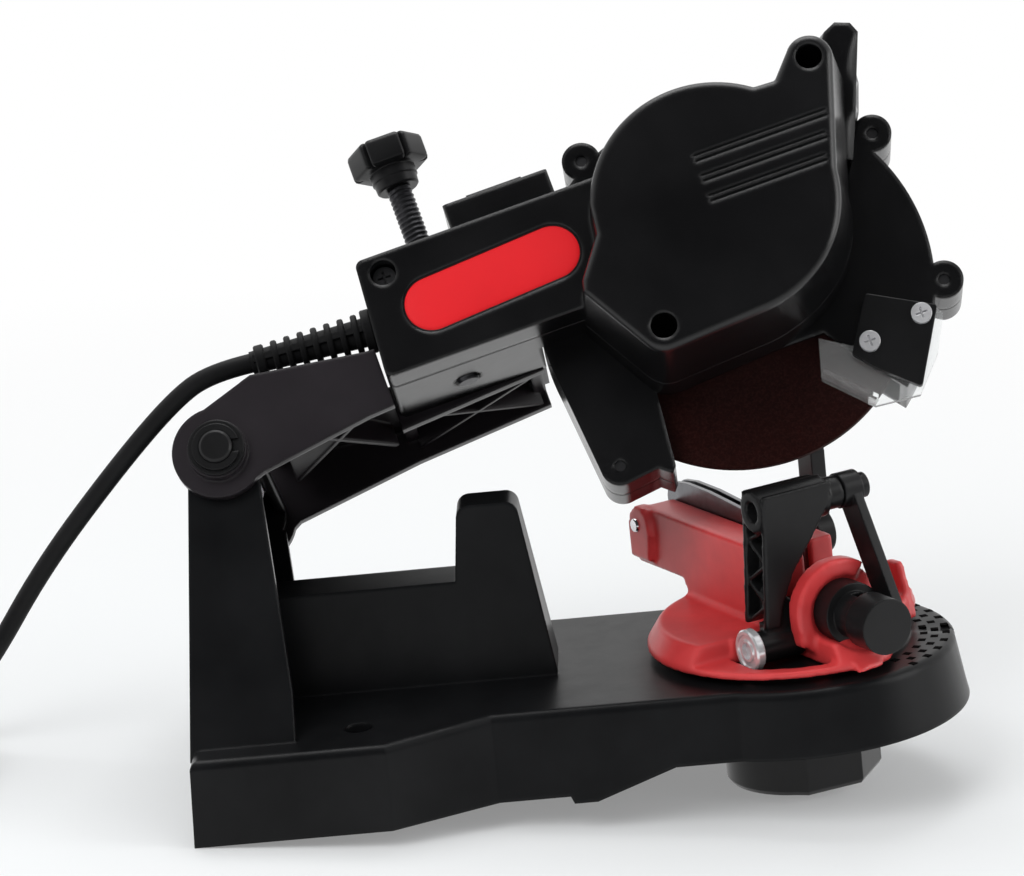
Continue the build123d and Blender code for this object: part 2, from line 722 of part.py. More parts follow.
with BuildPart(motor_plane) as motor_shaft:
    with Locations((0, 0, gear_start - 0.5)):
        Cylinder(motor_shaft_radius, motor_end + 1.2 - gear_start, align=standing)
motor_shaft.part.label = "motor_shaft"
export_step(motor_shaft.part, "parts/motor_shaft.step")


def spur_gear(plane, teeth, bore, turn):
    # A spur gear whose teeth narrow from root to tip; turn sets the first tooth's angle.
    pitch = gear_module * teeth / 2
    root = pitch - 1.3 * gear_module
    tip = pitch + 0.9 * gear_module
    with BuildPart() as gear:
        with BuildSketch(plane.offset(gear_start)):
            Circle(root)
            with PolarLocations(0, teeth, start_angle=turn):
                Polygon((root - 0.5, -0.95 * gear_module), (pitch, -0.66 * gear_module),
                        (tip, -0.22 * gear_module), (tip, 0.22 * gear_module),
                        (pitch, 0.66 * gear_module), (root - 0.5, 0.95 * gear_module), align=None)
            Circle(bore, mode=Mode.SUBTRACT)
        extrude(amount=gear_width)
    return gear


wheel_gear = spur_gear(wheel_plane, gear_teeth, arbor_radius, 90)
wheel_gear.part.label = "wheel_gear"
export_step(wheel_gear.part, "parts/wheel_gear.step")

motor_pinion = spur_gear(motor_plane, pinion_teeth, motor_shaft_radius, 90 + 180 / pinion_teeth)
motor_pinion.part.label = "motor_pinion"
export_step(motor_pinion.part, "parts/motor_pinion.step")

with BuildPart() as gear_plate:
    with BuildSketch(motor_plane.offset(plate_start)):
        Circle(cover_radius - shell_wall - 1)
        Circle(motor_shaft_radius + 3, mode=Mode.SUBTRACT)
    extrude(amount=plate_thickness)
    with BuildSketch(wheel_plane.offset(plate_start)):
        Circle(bearing_radius)
    extrude(amount=plate_thickness, mode=Mode.SUBTRACT)
gear_plate.part.label = "gear_plate"
export_step(gear_plate.part, "parts/gear_plate.step")

with BuildPart(wheel_plane) as arbor_bearings:
    with Locations((0, 0, guard_half_depth + 0.6)):
        Cylinder(bearing_radius, 5, align=standing)
        Cylinder(arbor_radius + pin_fit, 5, align=standing, mode=Mode.SUBTRACT)
    with Locations((0, 0, plate_start)):
        Cylinder(bearing_radius, plate_thickness, align=standing)
        Cylinder(arbor_radius + pin_fit, plate_thickness, align=standing, mode=Mode.SUBTRACT)
arbor_bearings.part.label = "arbor_bearings"
export_step(arbor_bearings.part, "parts/arbor_bearings.step")

# Arbor with the grinding wheel clamped between two flanges by a nut.
nut_height = 5.0
arbor_far = -flange_outer - nut_height - 0.2
with BuildPart(wheel_plane) as arbor:
    with Locations((0, 0, arbor_far)):
        Cylinder(arbor_radius, plate_start + plate_thickness - arbor_far, align=standing)
arbor.part.label = "arbor"
export_step(arbor.part, "parts/arbor.step")

with BuildPart(wheel_plane) as flange_near:
    with Locations((0, 0, wheel_half_thickness)):
        Cylinder(flange_radius, flange_outer - wheel_half_thickness, align=standing)
    with Locations((0, 0, flange_outer)):
        Cylinder(arbor_radius + 1.2, guard_half_depth + 0.3 - flange_outer, align=standing)
    Cylinder(wheel_bore, 2 * wheel_half_thickness)
    Cylinder(arbor_radius, 60, mode=Mode.SUBTRACT)
flange_near.part.label = "flange_near"
export_step(flange_near.part, "parts/flange_near.step")

with BuildPart(wheel_plane) as flange_far:
    with Locations((0, 0, -flange_outer)):
        Cylinder(flange_radius, flange_outer - wheel_half_thickness, align=standing)
        Cylinder(arbor_radius, 10, align=standing, mode=Mode.SUBTRACT)
flange_far.part.label = "flange_far"
export_step(flange_far.part, "parts/flange_far.step")

with BuildPart() as wheel_nut:
    with BuildSketch(wheel_plane.offset(-flange_outer - nut_height)):
        RegularPolygon(7.5, 6)
        Circle(arbor_radius, mode=Mode.SUBTRACT)
    extrude(amount=nut_height)
wheel_nut.part.label = "wheel_nut"
export_step(wheel_nut.part, "parts/wheel_nut.step")

with BuildPart(wheel_plane) as grinding_wheel:
    Cylinder(wheel_radius, 2 * wheel_half_thickness)
    Cylinder(wheel_bore, 2 * wheel_half_thickness, mode=Mode.SUBTRACT)
    chamfer(grinding_wheel.edges().filter_by(GeomType.CIRCLE).filter_by(lambda e: e.radius > wheel_radius - 1), length=0.5)
grinding_wheel.part.label = "grinding_wheel"
export_step(grinding_wheel.part, "parts/grinding_wheel.step")


def guard_outline(inset):
    # The round guard with its lower rear panel, open below where the wheel comes out.
    with BuildSketch() as outline:
        with Locations((wheel_reach, 0)):
            Circle(guard_radius - inset)
        with BuildLine():
            Polyline((104 + inset, -8), (106.7 + inset, -40.4), (112.7, -46.4 + inset),
                     (128.6, -44.5 + inset), (140, -15), close=True)
        make_face()
        with BuildLine():
            Polyline((131 - inset, guard_opening_top + inset), (185 + inset, guard_opening_top + inset),
                     (195 + inset, -38), (206 + inset, -52), (214, -80), (100, -80), (128.6 - inset, -46),
                     close=True)
        make_face(mode=Mode.SUBTRACT if inset == 0 else Mode.PRIVATE)
    return outline.sketch


guard_opening_top = -22.5
lug_places = ((134.2, 55.1), (221.1, 32.1), (225.1, -19.5), (112.7, -40.4))
shield_screw_places = ((214.2, -28.7), (196.5, -31.5))
guard_plan = guard_outline(0)
guard_hollow = guard_outline(shell_wall)
for name, level, floor, depth in (("guard_front", 0, 0, guard_half_depth),
                                  ("guard_rear", -guard_half_depth, guard_plate - guard_half_depth,
                                   guard_half_depth)):
    with BuildPart() as guard_half:
        with BuildSketch(head_plane.offset(level)):
            add(guard_plan)
            with Locations(*lug_places):
                Circle(lug_radius)
        extrude(amount=depth)
        with BuildSketch(head_plane.offset(floor)):
            add(guard_hollow)
        extrude(amount=depth - guard_plate, mode=Mode.SUBTRACT)
        with BuildSketch(head_plane.offset(level)):
            with Locations(*lug_places):
                Circle(screw_radius)
            if level == 0:
                with Locations((wheel_reach, 0)):
                    Circle(arbor_radius + 2.5)
                with Locations(*shield_screw_places):
                    Circle(screw_radius)
        extrude(amount=depth, mode=Mode.SUBTRACT)
    guard_half.part.label = name
    export_step(guard_half.part, f"parts/{name}.step")

with BuildPart() as guard_screws:
    with BuildSketch(head_plane.offset(-guard_half_depth)):
        with Locations(*lug_places):
            Circle(screw_radius)
    extrude(amount=2 * guard_half_depth - 1)
    with BuildSketch(head_plane.offset(-guard_half_depth - 2)):
        with Locations(*lug_places):
            Circle(screw_head_radius)
    extrude(amount=2)
guard_screws.part.label = "guard_screws"
export_step(guard_screws.part, "parts/guard_screws.step")

# Clear eye shield under a clamping plate.
shield_thick = 2.0
with BuildPart() as eye_shield:
    with BuildSketch(head_plane.offset(guard_half_depth)):
        with BuildLine():
            Polyline((200.8, -17.3), (219.6, -27.8), (220.8, -30), (215, -41), (205.4, -51.6), (191.4, -50.2),
                     (179, -36.8), (182.6, -24.3), (192, -30.5), close=True)
        make_face()
    extrude(amount=shield_thick)
    with BuildSketch(head_plane.offset(guard_half_depth)):
        with BuildLine():
            Polyline((191.4, -50.2), (179, -36.8), (180.4, -35.5), (192.8, -48.9), close=True)
        make_face()
    extrude(amount=9)
    with BuildSketch(head_plane.offset(guard_half_depth)):
        with Locations(*shield_screw_places):
            Circle(screw_radius)
    extrude(amount=shield_thick, mode=Mode.SUBTRACT)
eye_shield.part.label = "eye_shield"
export_step(eye_shield.part, "parts/eye_shield.step")

clamp_plate_thick = 2.5
with BuildPart() as shield_plate:
    with BuildSketch(head_plane.offset(guard_half_depth + shield_thick)):
        with BuildLine():
            Polyline((200.6, -16.5), (219.8, -27.5), (206.5, -50), (196.3, -40.3), (190.2, -33), close=True)
        make_face()
        fillet(vertices(), radius=1)
    extrude(amount=clamp_plate_thick)
    with BuildSketch(head_plane.offset(guard_half_depth + shield_thick)):
        with Locations(*shield_screw_places):
            Circle(screw_radius)
    extrude(amount=clamp_plate_thick, mode=Mode.SUBTRACT)
shield_plate.part.label = "shield_plate"
export_step(shield_plate.part, "parts/shield_plate.step")

shield_top = guard_half_depth + shield_thick + clamp_plate_thick
with BuildPart() as shield_screws:
    with BuildSketch(head_plane.offset(guard_half_depth - guard_plate)):
        with Locations(*shield_screw_places):
            Circle(screw_radius)
    extrude(amount=shield_top - guard_half_depth + guard_plate)
    with BuildSketch(head_plane.offset(shield_top)):
        with Locations(*shield_screw_places):
            Circle(screw_head_radius - 0.4)
    extrude(amount=1.9)
    with BuildSketch(head_plane.offset(shield_top + 0.8)):
        with Locations(*shield_screw_places):
            Rectangle(3.6, 0.7)
            Rectangle(0.7, 3.6)
    extrude(amount=2, mode=Mode.SUBTRACT)
shield_screws.part.label = "shield_screws"
export_step(shield_screws.part, "parts/shield_screws.step")

with BuildPart() as carrier_screws:
    with BuildSketch(head_plane.offset(arm_back - carrier_wall)):
        with Locations(*carrier_screw_places):
            Circle(screw_radius)
    extrude(amount=carrier_wall + shell_wall)
    with BuildSketch(head_plane.offset(arm_back - carrier_wall - 2)):
        with Locations(*carrier_screw_places):
            Circle(screw_head_radius - 0.8)
    extrude(amount=2)
carrier_screws.part.label = "carrier_screws"
export_step(carrier_screws.part, "parts/carrier_screws.step")

# Depth screw, its nut in the arm and its knob.
with BuildPart(depth_plane) as depth_nut:
    with Locations((0, 0, depth_nut_bottom)):
        Cylinder(depth_nut_radius, arm_top - depth_nut_bottom, align=standing)
        Cylinder(depth_screw_radius + pin_fit, 40, align=standing, mode=Mode.SUBTRACT)
depth_nut.part.label = "depth_nut"
export_step(depth_nut.part, "parts/depth_nut.step")

with BuildPart(depth_plane) as depth_screw:
    with Locations((0, 0, depth_tip)):
        Cylinder(depth_screw_radius, depth_knob_bottom - depth_tip, align=standing)
    fillet(depth_screw.edges().sort_by(Axis(pivot, over_arm))[0], radius=2.4)
depth_screw.part.label = "depth_screw"
export_step(depth_screw.part, "parts/depth_screw.step")

with BuildPart(depth_plane) as depth_knob:
    with BuildSketch(depth_plane.offset(depth_knob_bottom)):
        Circle(depth_knob_radius - 1.2)
        with PolarLocations(depth_knob_radius - 2.6, 6):
            Circle(2.9)
    extrude(amount=depth_knob_height)
    with Locations((0, 0, depth_knob_bottom - 2.5)):
        Cylinder(4.6, 2.5, align=standing)
    with Locations((0, 0, depth_knob_bottom - 6.5)):
        Cylinder(7.25, 4.5, align=standing)
        Cylinder(depth_screw_radius, 6.5, align=standing, mode=Mode.SUBTRACT)
depth_knob.part.label = "depth_knob"
export_step(depth_knob.part, "parts/depth_knob.step")

# Turntable: graduated disc, near jaw wall, far tower and the front ring of the chain stop.
jaw_face = -0.2            # chain side of the fixed jaw plate
tower_start = -38.0
tower_end = -22.0
tower_near = 21.0
tower_far = 27.0
lever_reach = -30.0
lever_z = disc_top + 12
ring_start = 25.0
ring_end = 28.0
ring_radius = 13.8
adjuster_across = 1.0
adjuster_shaft_radius = 4.0
hinge_reach = 20.0
hinge_lug_start = -9.0
hinge_lug_end = -1.0
hinge_pin_radius = 3.0
guide_places = ((-62.0, jaw_top - 6), (6.0, jaw_top - 14))


def spot(plane, x, y, level=0.0):
    # A place on a plane, lifted along its normal.
    return plane.offset(level).location * Location((x, y, 0))


with BuildPart() as turntable:
    with Locations(vice_plane.offset(disc_bottom)):
        Cylinder(disc_radius, 2, align=standing)
    with Locations(vice_plane.offset(disc_bottom + 2)):
        Cone(disc_radius, disc_radius - 4, disc_top - disc_bottom - 2, align=standing)
    with BuildSketch(vice_plane.offset(disc_bottom - 1)):
        with Locations((hinge_reach + 12, (stop_near + hinge_lug_start - 4) / 2)):
            Rectangle(40, hinge_lug_start - stop_near + 4)
    extrude(amount=disc_top, mode=Mode.SUBTRACT)
    with BuildSketch(vice_side.offset(-jaw_near)):
        with BuildLine():
            Polyline((jaw_tail, overhang_bottom), (overhang_start, overhang_bottom),
                     (overhang_start + 4, disc_top - 2), (jaw_front, disc_top - 2), (jaw_front, jaw_top - 3),
                     (jaw_front - 4, jaw_top), (jaw_tail + 5, jaw_top), (jaw_tail, jaw_top - 5), close=True)
        make_face()
    extrude(amount=jaw_near - jaw_face + plate_thick)
    with BuildSketch(vice_side.offset(-tower_near)):
        with BuildLine():
            Polyline((tower_start, disc_top - 2), (tower_end, disc_top - 2), (tower_end, lever_z),
                     (lever_reach, lever_z + 8), (tower_start, lever_z), close=True)
        make_face()
    extrude(amount=tower_near - tower_far)
    with BuildSketch(vice_front.offset(ring_start)):
        with Locations((adjuster_across, adjuster_z)):
            Circle(ring_radius)
        with Locations((adjuster_across, (disc_top - 4 + adjuster_z) / 2)):
            Rectangle(2 * ring_radius - 4, adjuster_z - disc_top + 4)
    extrude(amount=ring_end - ring_start)
    with BuildSketch(vice_side.offset(-hinge_lug_end)):
        with Locations((hinge_reach, hinge_z + 0.5)):
            Rectangle(8, 9)
    extrude(amount=hinge_lug_end - hinge_lug_start)
    with BuildSketch(vice_front.offset(ring_end)):
        with Locations((adjuster_across, adjuster_z)):
            Circle(adjuster_radius + 0.6)
    extrude(amount=40, mode=Mode.SUBTRACT)
    with Locations(spot(vice_side, hinge_reach, hinge_z)):
        Cylinder(hinge_pin_radius, 40, mode=Mode.SUBTRACT)
    with Locations(spot(vice_side, lever_reach, lever_z, -tower_far)):
        Cylinder(depth_screw_radius + pin_fit, 20, mode=Mode.SUBTRACT)
    with Locations(spot(vice_front, adjuster_across, adjuster_z, ring_start)):
        Cylinder(adjuster_shaft_radius + pin_fit, 12, mode=Mode.SUBTRACT)
    with Locations(*[spot(vice_side, x, z, 5) for x, z in guide_places]):
        Cylinder(guide_radius, 40, mode=Mode.SUBTRACT)
    with Locations((turn_x, 0, 0)):
        Cylinder(clamp_radius, 100, mode=Mode.SUBTRACT)
    with BuildSketch(vice_plane.offset(disc_top - 5)):
        RegularPolygon(7.5, 6)
    extrude(amount=5.2, mode=Mode.SUBTRACT)
    with BuildSketch(Plane.XY.offset(disc_bottom - 1)):
        with Locations(Location((turn_x + 34.8 * cos(radians(12)), -34.8 * sin(radians(12)), 0), (0, 0, -12))):
            Rectangle(20, 80, align=(Align.MIN, Align.CENTER))
    extrude(amount=disc_top - disc_bottom + 2, mode=Mode.SUBTRACT)
turntable.part.label = "turntable"
export_step(turntable.part, "parts/turntable.step")

# Jaws: a fixed steel plate, a moving red jaw with its own plate, and two guide pins.
with BuildPart() as fixed_plate:
    with BuildSketch(vice_side.offset(-jaw_face)):
        with BuildLine():
            Polyline((jaw_tail + 8, disc_top + 8), (jaw_front - 6, disc_top + 8), (jaw_front - 6, plate_top),
                     (jaw_tail + 8, plate_top), close=True)
        make_face()
        fillet(vertices().sort_by(Axis(turn_axis, along_jaw))[:1], radius=0.5)
        with Locations(*guide_places):
            Circle(guide_radius + running_gap, mode=Mode.SUBTRACT)
    extrude(amount=plate_thick)
fixed_plate.part.label = "fixed_plate"
export_step(fixed_plate.part, "parts/fixed_plate.step")

moving_face = jaw_face + chain_gap
with BuildPart() as moving_plate:
    with BuildSketch(vice_side.offset(-moving_face - plate_thick)):
        with BuildLine():
            Polyline((jaw_tail + 8, disc_top + 8), (jaw_front - 6, disc_top + 8), (jaw_front - 6, plate_top),
                     (jaw_tail + 8, plate_top), close=True)
        make_face()
        with Locations(*guide_places):
            Circle(guide_radius + running_gap, mode=Mode.SUBTRACT)
        with Locations((lever_reach, lever_z)):
            Circle(depth_screw_radius + running_gap, mode=Mode.SUBTRACT)
    extrude(amount=plate_thick)
moving_plate.part.label = "moving_plate"
export_step(moving_plate.part, "parts/moving_plate.step")

with BuildPart() as moving_jaw:
    with BuildSketch(vice_side.offset(-jaw_far)):
        with BuildLine():
            Polyline((jaw_tail, overhang_bottom), (overhang_start, overhang_bottom),
                     (overhang_start + 4, disc_top + running_gap), (jaw_front - 4, disc_top + running_gap),
                     (jaw_front - 4, jaw_top), (jaw_tail + 5, jaw_top), (jaw_tail, jaw_top - 5), close=True)
        make_face()
        with Locations(*guide_places):
            Circle(guide_radius + pin_fit, mode=Mode.SUBTRACT)
        with Locations((lever_reach, lever_z)):
            Circle(depth_screw_radius + pin_fit, mode=Mode.SUBTRACT)
    extrude(amount=jaw_far - moving_face - plate_thick)
moving_jaw.part.label = "moving_jaw"
export_step(moving_jaw.part, "parts/moving_jaw.step")

guide_end = 17.0
with BuildPart() as guide_pins:
    with Locations(*[spot(vice_side, x, z, -guide_end) for x, z in guide_places]):
        Cylinder(guide_radius, guide_end - jaw_near, align=standing)
    with Locations(*[spot(vice_side, x, z, -jaw_near) for x, z in guide_places[:1]]):
        Cylinder(4.2, 2.4, align=standing)
guide_pins.part.label = "guide_pins"
export_step(guide_pins.part, "parts/guide_pins.step")

# Clamping lever of the jaws with its screw.
lever_length = 26.0
with BuildPart() as clamp_lever:
    with Locations(spot(vice_side, lever_reach, lever_z, -tower_far - running_gap - 6)):
        Cylinder(7, 6, align=standing)
        Cylinder(depth_screw_radius, 6, align=standing, mode=Mode.SUBTRACT)
    with BuildSketch(vice_side.offset(-tower_far - running_gap - 6)):
        with Locations((lever_reach, lever_z + 6 + (lever_length - 6) / 2)):
            Rectangle(8, lever_length - 6)
        with Locations((lever_reach, lever_z + lever_length)):
            Circle(4)
    extrude(amount=5)
clamp_lever.part.label = "clamp_lever"
export_step(clamp_lever.part, "parts/clamp_lever.step")

with BuildPart() as jaw_screw:
    with Locations(spot(vice_side, lever_reach, lever_z, -tower_far - running_gap - 6)):
        Cylinder(depth_screw_radius, tower_far + running_gap + 6 - moving_face - plate_thick, align=standing)
jaw_screw.part.label = "jaw_screw"
export_step(jaw_screw.part, "parts/jaw_screw.step")

# Chain stop bracket: a ribbed plate hinged low down, with a tube along its top.
barrel_radius = 4.6
foot_end = hinge_lug_start - running_gap
with BuildPart() as stop_bracket:
    with BuildSketch(vice_front.offset(bracket_back)):
        with BuildLine():
            Polyline((stop_near, hinge_z), (foot_end, hinge_z), (foot_end, hinge_z + 7),
                     (adjuster_across + 5, hinge_z + 7), (adjuster_across + 5, adjuster_z + 5), (-2.5, tube_z - 22),
                     (-2.5, tube_z), (stop_near, tube_z), close=True)
        make_face()
    extrude(amount=bracket_front - bracket_back)
    with BuildSketch(vice_side.offset(-stop_near - 3)):
        for rib_z in (hinge_z + 8, hinge_z + 18, hinge_z + 28):
            with BuildLine():
                Polyline((bracket_back - 1, rib_z), (bracket_front + 1, rib_z + 8), (bracket_front + 1, rib_z + 6),
                         (bracket_back - 1, rib_z - 2), close=True)
            make_face(mode=Mode.ADD)
    extrude(amount=3.0, mode=Mode.ADD)
    with Locations(spot(vice_side, hinge_reach, tube_z, -stop_far)):
        Cylinder(tube_radius, stop_far - stop_near, align=standing)
    with Locations(spot(vice_side, hinge_reach, hinge_z, -foot_end)):
        Cylinder(barrel_radius, foot_end - stop_near, align=standing)
    with Locations(spot(vice_side, hinge_reach, tube_z)):
        Cylinder(hinge_pin_radius, 80, mode=Mode.SUBTRACT)
    with Locations(spot(vice_side, hinge_reach, hinge_z)):
        Cylinder(hinge_pin_radius + pin_fit, 80, mode=Mode.SUBTRACT)
stop_bracket.part.label = "stop_bracket"
export_step(stop_bracket.part, "parts/stop_bracket.step")

with BuildPart() as hinge_screw:
    with Locations(spot(vice_side, hinge_reach, hinge_z, -hinge_lug_end)):
        Cylinder(hinge_pin_radius, hinge_lug_end - stop_near + 2, align=standing)
    with Locations(spot(vice_side, hinge_reach, hinge_z, -stop_near + running_gap)):
        Cylinder(6.2, 2.2, align=standing)
    with BuildSketch(vice_side.offset(-stop_near + running_gap + 1.5)):
        with Locations((hinge_reach, hinge_z)):
            Rectangle(6, 1)
            Rectangle(1, 6)
    extrude(amount=2, mode=Mode.SUBTRACT)
hinge_screw.part.label = "hinge_screw"
export_step(hinge_screw.part, "parts/hinge_screw.step")

# Pawl on the tube's pin: it hangs in front and is flipped up and over to the chain.
hub_width = 6.5
pawl_drop = 37.0
pawl_reach = 21.0
with BuildPart() as stop_pin:
    with Locations(spot(vice_side, hinge_reach, tube_z, -stop_far - hub_width - 2 * running_gap)):
        Cylinder(hinge_pin_radius, stop_far + hub_width + 2 * running_gap - stop_near - 6, align=standing)
    with Locations(spot(vice_side, hinge_reach, tube_z, -stop_far - hub_width - 2 * running_gap - 2.6)):
        Cylinder(3.9, 2.6, align=standing)
stop_pin.part.label = "stop_pin"
export_step(stop_pin.part, "parts/stop_pin.step")

with BuildPart() as stop_pawl:
    with Locations(spot(vice_side, hinge_reach, tube_z, -stop_far - running_gap - hub_width)):
        Cylinder(tube_radius + 0.4, hub_width, align=standing)
    pawl_angle = degrees(atan(pawl_drop / pawl_reach))
    pawl_length = sqrt(pawl_drop ** 2 + pawl_reach ** 2)
    with BuildSketch(vice_side.offset(-stop_far - running_gap - hub_width + 1)):
        with Locations(Location((hinge_reach + pawl_reach / 2, tube_z - pawl_drop / 2, 0), (0, 0, -pawl_angle))):
            Rectangle(pawl_length, 9)
    extrude(amount=3)
    with Locations(spot(vice_side, hinge_reach, tube_z)):
        Cylinder(hinge_pin_radius + pin_fit, 80, mode=Mode.SUBTRACT)
stop_pawl.part.label = "stop_pawl"
export_step(stop_pawl.part, "parts/stop_pawl.step")

with BuildPart(vice_front) as adjuster_knob:
    with BuildSketch(vice_front.offset(ring_end + running_gap)):
        with Locations((adjuster_across, adjuster_z)):
            Circle(adjuster_radius)
    extrude(amount=7.5)
    with BuildSketch(vice_front.offset(ring_end + running_gap)):
        with Locations((adjuster_across, adjuster_z)):
            Circle(7)
    extrude(amount=16)
    with BuildSketch(vice_front.offset(ring_end + 16)):
        with Locations((adjuster_across, adjuster_z)):
            Circle(8.5)
    extrude(amount=10)
    with BuildSketch(vice_front.offset(ring_end + 9.5)):
        with Locations((adjuster_across, adjuster_z + 6), (adjuster_across, adjuster_z - 6)):
            Rectangle(3, 5)
    extrude(amount=5, mode=Mode.SUBTRACT)
    with BuildSketch(vice_front.offset(ring_end)):
        with Locations((adjuster_across, adjuster_z)):
            Circle(adjuster_shaft_radius)
    extrude(amount=20, mode=Mode.SUBTRACT)
adjuster_knob.part.label = "adjuster_knob"
export_step(adjuster_knob.part, "parts/adjuster_knob.step")

with BuildPart() as adjuster_shaft:
    with Locations(spot(vice_front, adjuster_across, adjuster_z, bracket_front + 0.9)):
        Cylinder(adjuster_shaft_radius, ring_end + 20 - bracket_front - 0.9, align=standing)
adjuster_shaft.part.label = "adjuster_shaft"
export_step(adjuster_shaft.part, "parts/adjuster_shaft.step")

# Clamp of the turntable: bolt, washer and the knob under the base.
with BuildPart() as clamp_bolt:
    with BuildSketch(vice_plane.offset(disc_top - 5)):
        RegularPolygon(7.4, 6)
    extrude(amount=4.8)
    with Locations((turn_x, 0, clamp_knob_bottom + 3)):
        Cylinder(clamp_radius, disc_top - 5 - clamp_knob_bottom - 3, align=standing)
clamp_bolt.part.label = "clamp_bolt"
export_step(clamp_bolt.part, "parts/clamp_bolt.step")

with BuildPart() as clamp_washer:
    with Locations((turn_x, 0, clamp_knob_top + running_gap)):
        Cylinder(10, 1.4, align=standing)
        Cylinder(clamp_radius + running_gap, 1.4, align=standing, mode=Mode.SUBTRACT)
clamp_washer.part.label = "clamp_washer"
export_step(clamp_washer.part, "parts/clamp_washer.step")

with BuildPart() as clamp_knob:
    with BuildSketch(Plane(origin=(turn_x, 0, clamp_knob_bottom))):
        RegularPolygon(clamp_knob_radius, 8, major_radius=False, rotation=22.5)
        fillet(vertices(), radius=3)
    extrude(amount=-1.5 - clamp_knob_bottom)
    with Locations((turn_x, 0, -1.5)):
        Cylinder(13, clamp_knob_top + 1.5, align=standing)
    with Locations((turn_x, 0, 0)):
        Cylinder(clamp_radius + pin_fit, 100, mode=Mode.SUBTRACT)
    with Locations((turn_x, 0, clamp_knob_bottom)):
        Cylinder(clamp_knob_radius - 6, 5, align=standing, mode=Mode.SUBTRACT)
clamp_knob.part.label = "clamp_knob"
export_step(clamp_knob.part, "parts/clamp_knob.step")

# Supply cord: the stretch from the relief to the coil, the coil itself and the plug.
coil_floor = -stand_slope * (coil_x - base_rear)
coil_plane = Plane(origin=(coil_x, coil_y, coil_floor), x_dir=(1, 0, -stand_slope), z_dir=(stand_slope, 0, 1))
coil_entry_y = coil_y + coil_mean_radius
cord_points = [
    tuple(cord_exit),
    tuple(cord_exit + (cord_exit - relief_root).normalized() * 13),
    (-50.5, 17.3, 115.1),
    (-70.5, 17.5, 95.5),
    (-97.0, 18.0, 66.0),
    (-117.5, 18.0, 38.0),
    (-131.5, 17.5, 26.5),
    (-149.0, 17.0, 21.5),
    (-167.0, coil_entry_y, 22.5),
]
cord_radii = []
for before, here, after in zip(cord_points, cord_points[1:], cord_points[2:]):
    run_in = Vector(*here) - Vector(*before)
    run_out = Vector(*after) - Vector(*here)
    half_turn = radians(run_in.get_angle(run_out)) / 2
    cord_radii.append(0.45 * min(run_in.length, run_out.length) / tan(half_turn))
print("cord radii", [round(radius, 1) for radius in cord_radii])

with BuildPart() as cord_run:
    with BuildLine() as cord_line:
        FilletPolyline(*cord_points, radius=cord_radii)
    with BuildSketch(Plane(origin=cord_line.line @ 0, z_dir=cord_line.line % 0)):
        Circle(cord_radius)
    sweep(path=cord_line.line)
print("cord run length", round(cord_line.wires()[0].length, 1), "volume ratio",
      round(cord_run.part.volume / (cord_line.wires()[0].length * pi * cord_radius ** 2), 4))
cord_run.part.label = "cord_run"
export_step(cord_run.part, "parts/cord_run.step")

with BuildPart() as cord_coil:
    with Locations(coil_plane):
        Cylinder(coil_mean_radius + coil_half_width, coil_height, align=standing)
        Cylinder(coil_mean_radius - coil_half_width, coil_height, align=standing, mode=Mode.SUBTRACT)
    fillet(cord_coil.edges().filter_by(GeomType.CIRCLE), radius=2.5)
cord_coil.part.label = "cord_coil"
export_step(cord_coil.part, "parts/cord_coil.step")

plug_length = 34.0
plug_half_width = 17.5
plug_height = 14.0
plug_turn = 150.0
plug_plane = Plane(coil_plane.location * Location((-14.7, 38.5, coil_height), (0, 0, plug_turn)))
with BuildPart() as plug_body:
    with BuildSketch(plug_plane):
        with BuildLine():
            Polyline((-32, -4), (-18, -5.5), (-12, -12), (plug_length - 18, -plug_half_width),
                     (plug_length - 14, -plug_half_width), (plug_length - 14, plug_half_width),
                     (plug_length - 18, plug_half_width), (-12, 12), (-18, 5.5), (-32, 4), close=True)
        make_face()
        fillet(vertices(), radius=1.2)
    extrude(amount=plug_height)
    fillet(plug_body.edges().group_by(Axis((0, 0, 0), plug_plane.z_dir))[-1], radius=2)
plug_body.part.label = "plug_body"
export_step(plug_body.part, "parts/plug_body.step")

with BuildPart() as plug_pins:
    for side in (-9.3, 9.3):
        with Locations(plug_plane.location * Location((plug_length - 14, side, plug_height / 2), (0, 90, 0))):
            Cylinder(2.0, 19, align=standing)
plug_pins.part.label = "plug_pins"
export_step(plug_pins.part, "parts/plug_pins.step")
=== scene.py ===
# Electric chainsaw sharpener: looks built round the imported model, in metres, in the model's own frame.
from math import atan2, ceil, cos, pi, radians, sin, sqrt

import bmesh
import bpy
from mathutils import Matrix, Vector


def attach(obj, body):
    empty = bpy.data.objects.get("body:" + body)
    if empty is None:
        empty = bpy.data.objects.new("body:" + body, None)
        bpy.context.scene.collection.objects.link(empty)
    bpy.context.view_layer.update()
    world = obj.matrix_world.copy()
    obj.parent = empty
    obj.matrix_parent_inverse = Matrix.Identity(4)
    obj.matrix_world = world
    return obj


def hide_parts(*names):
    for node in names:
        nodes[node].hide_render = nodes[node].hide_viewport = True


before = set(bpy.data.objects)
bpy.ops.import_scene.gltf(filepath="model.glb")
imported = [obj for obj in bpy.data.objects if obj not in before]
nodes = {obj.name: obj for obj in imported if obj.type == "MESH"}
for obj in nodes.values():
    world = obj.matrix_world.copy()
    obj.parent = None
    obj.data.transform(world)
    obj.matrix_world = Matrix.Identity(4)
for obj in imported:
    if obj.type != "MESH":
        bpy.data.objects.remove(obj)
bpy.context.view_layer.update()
mm = 0.001


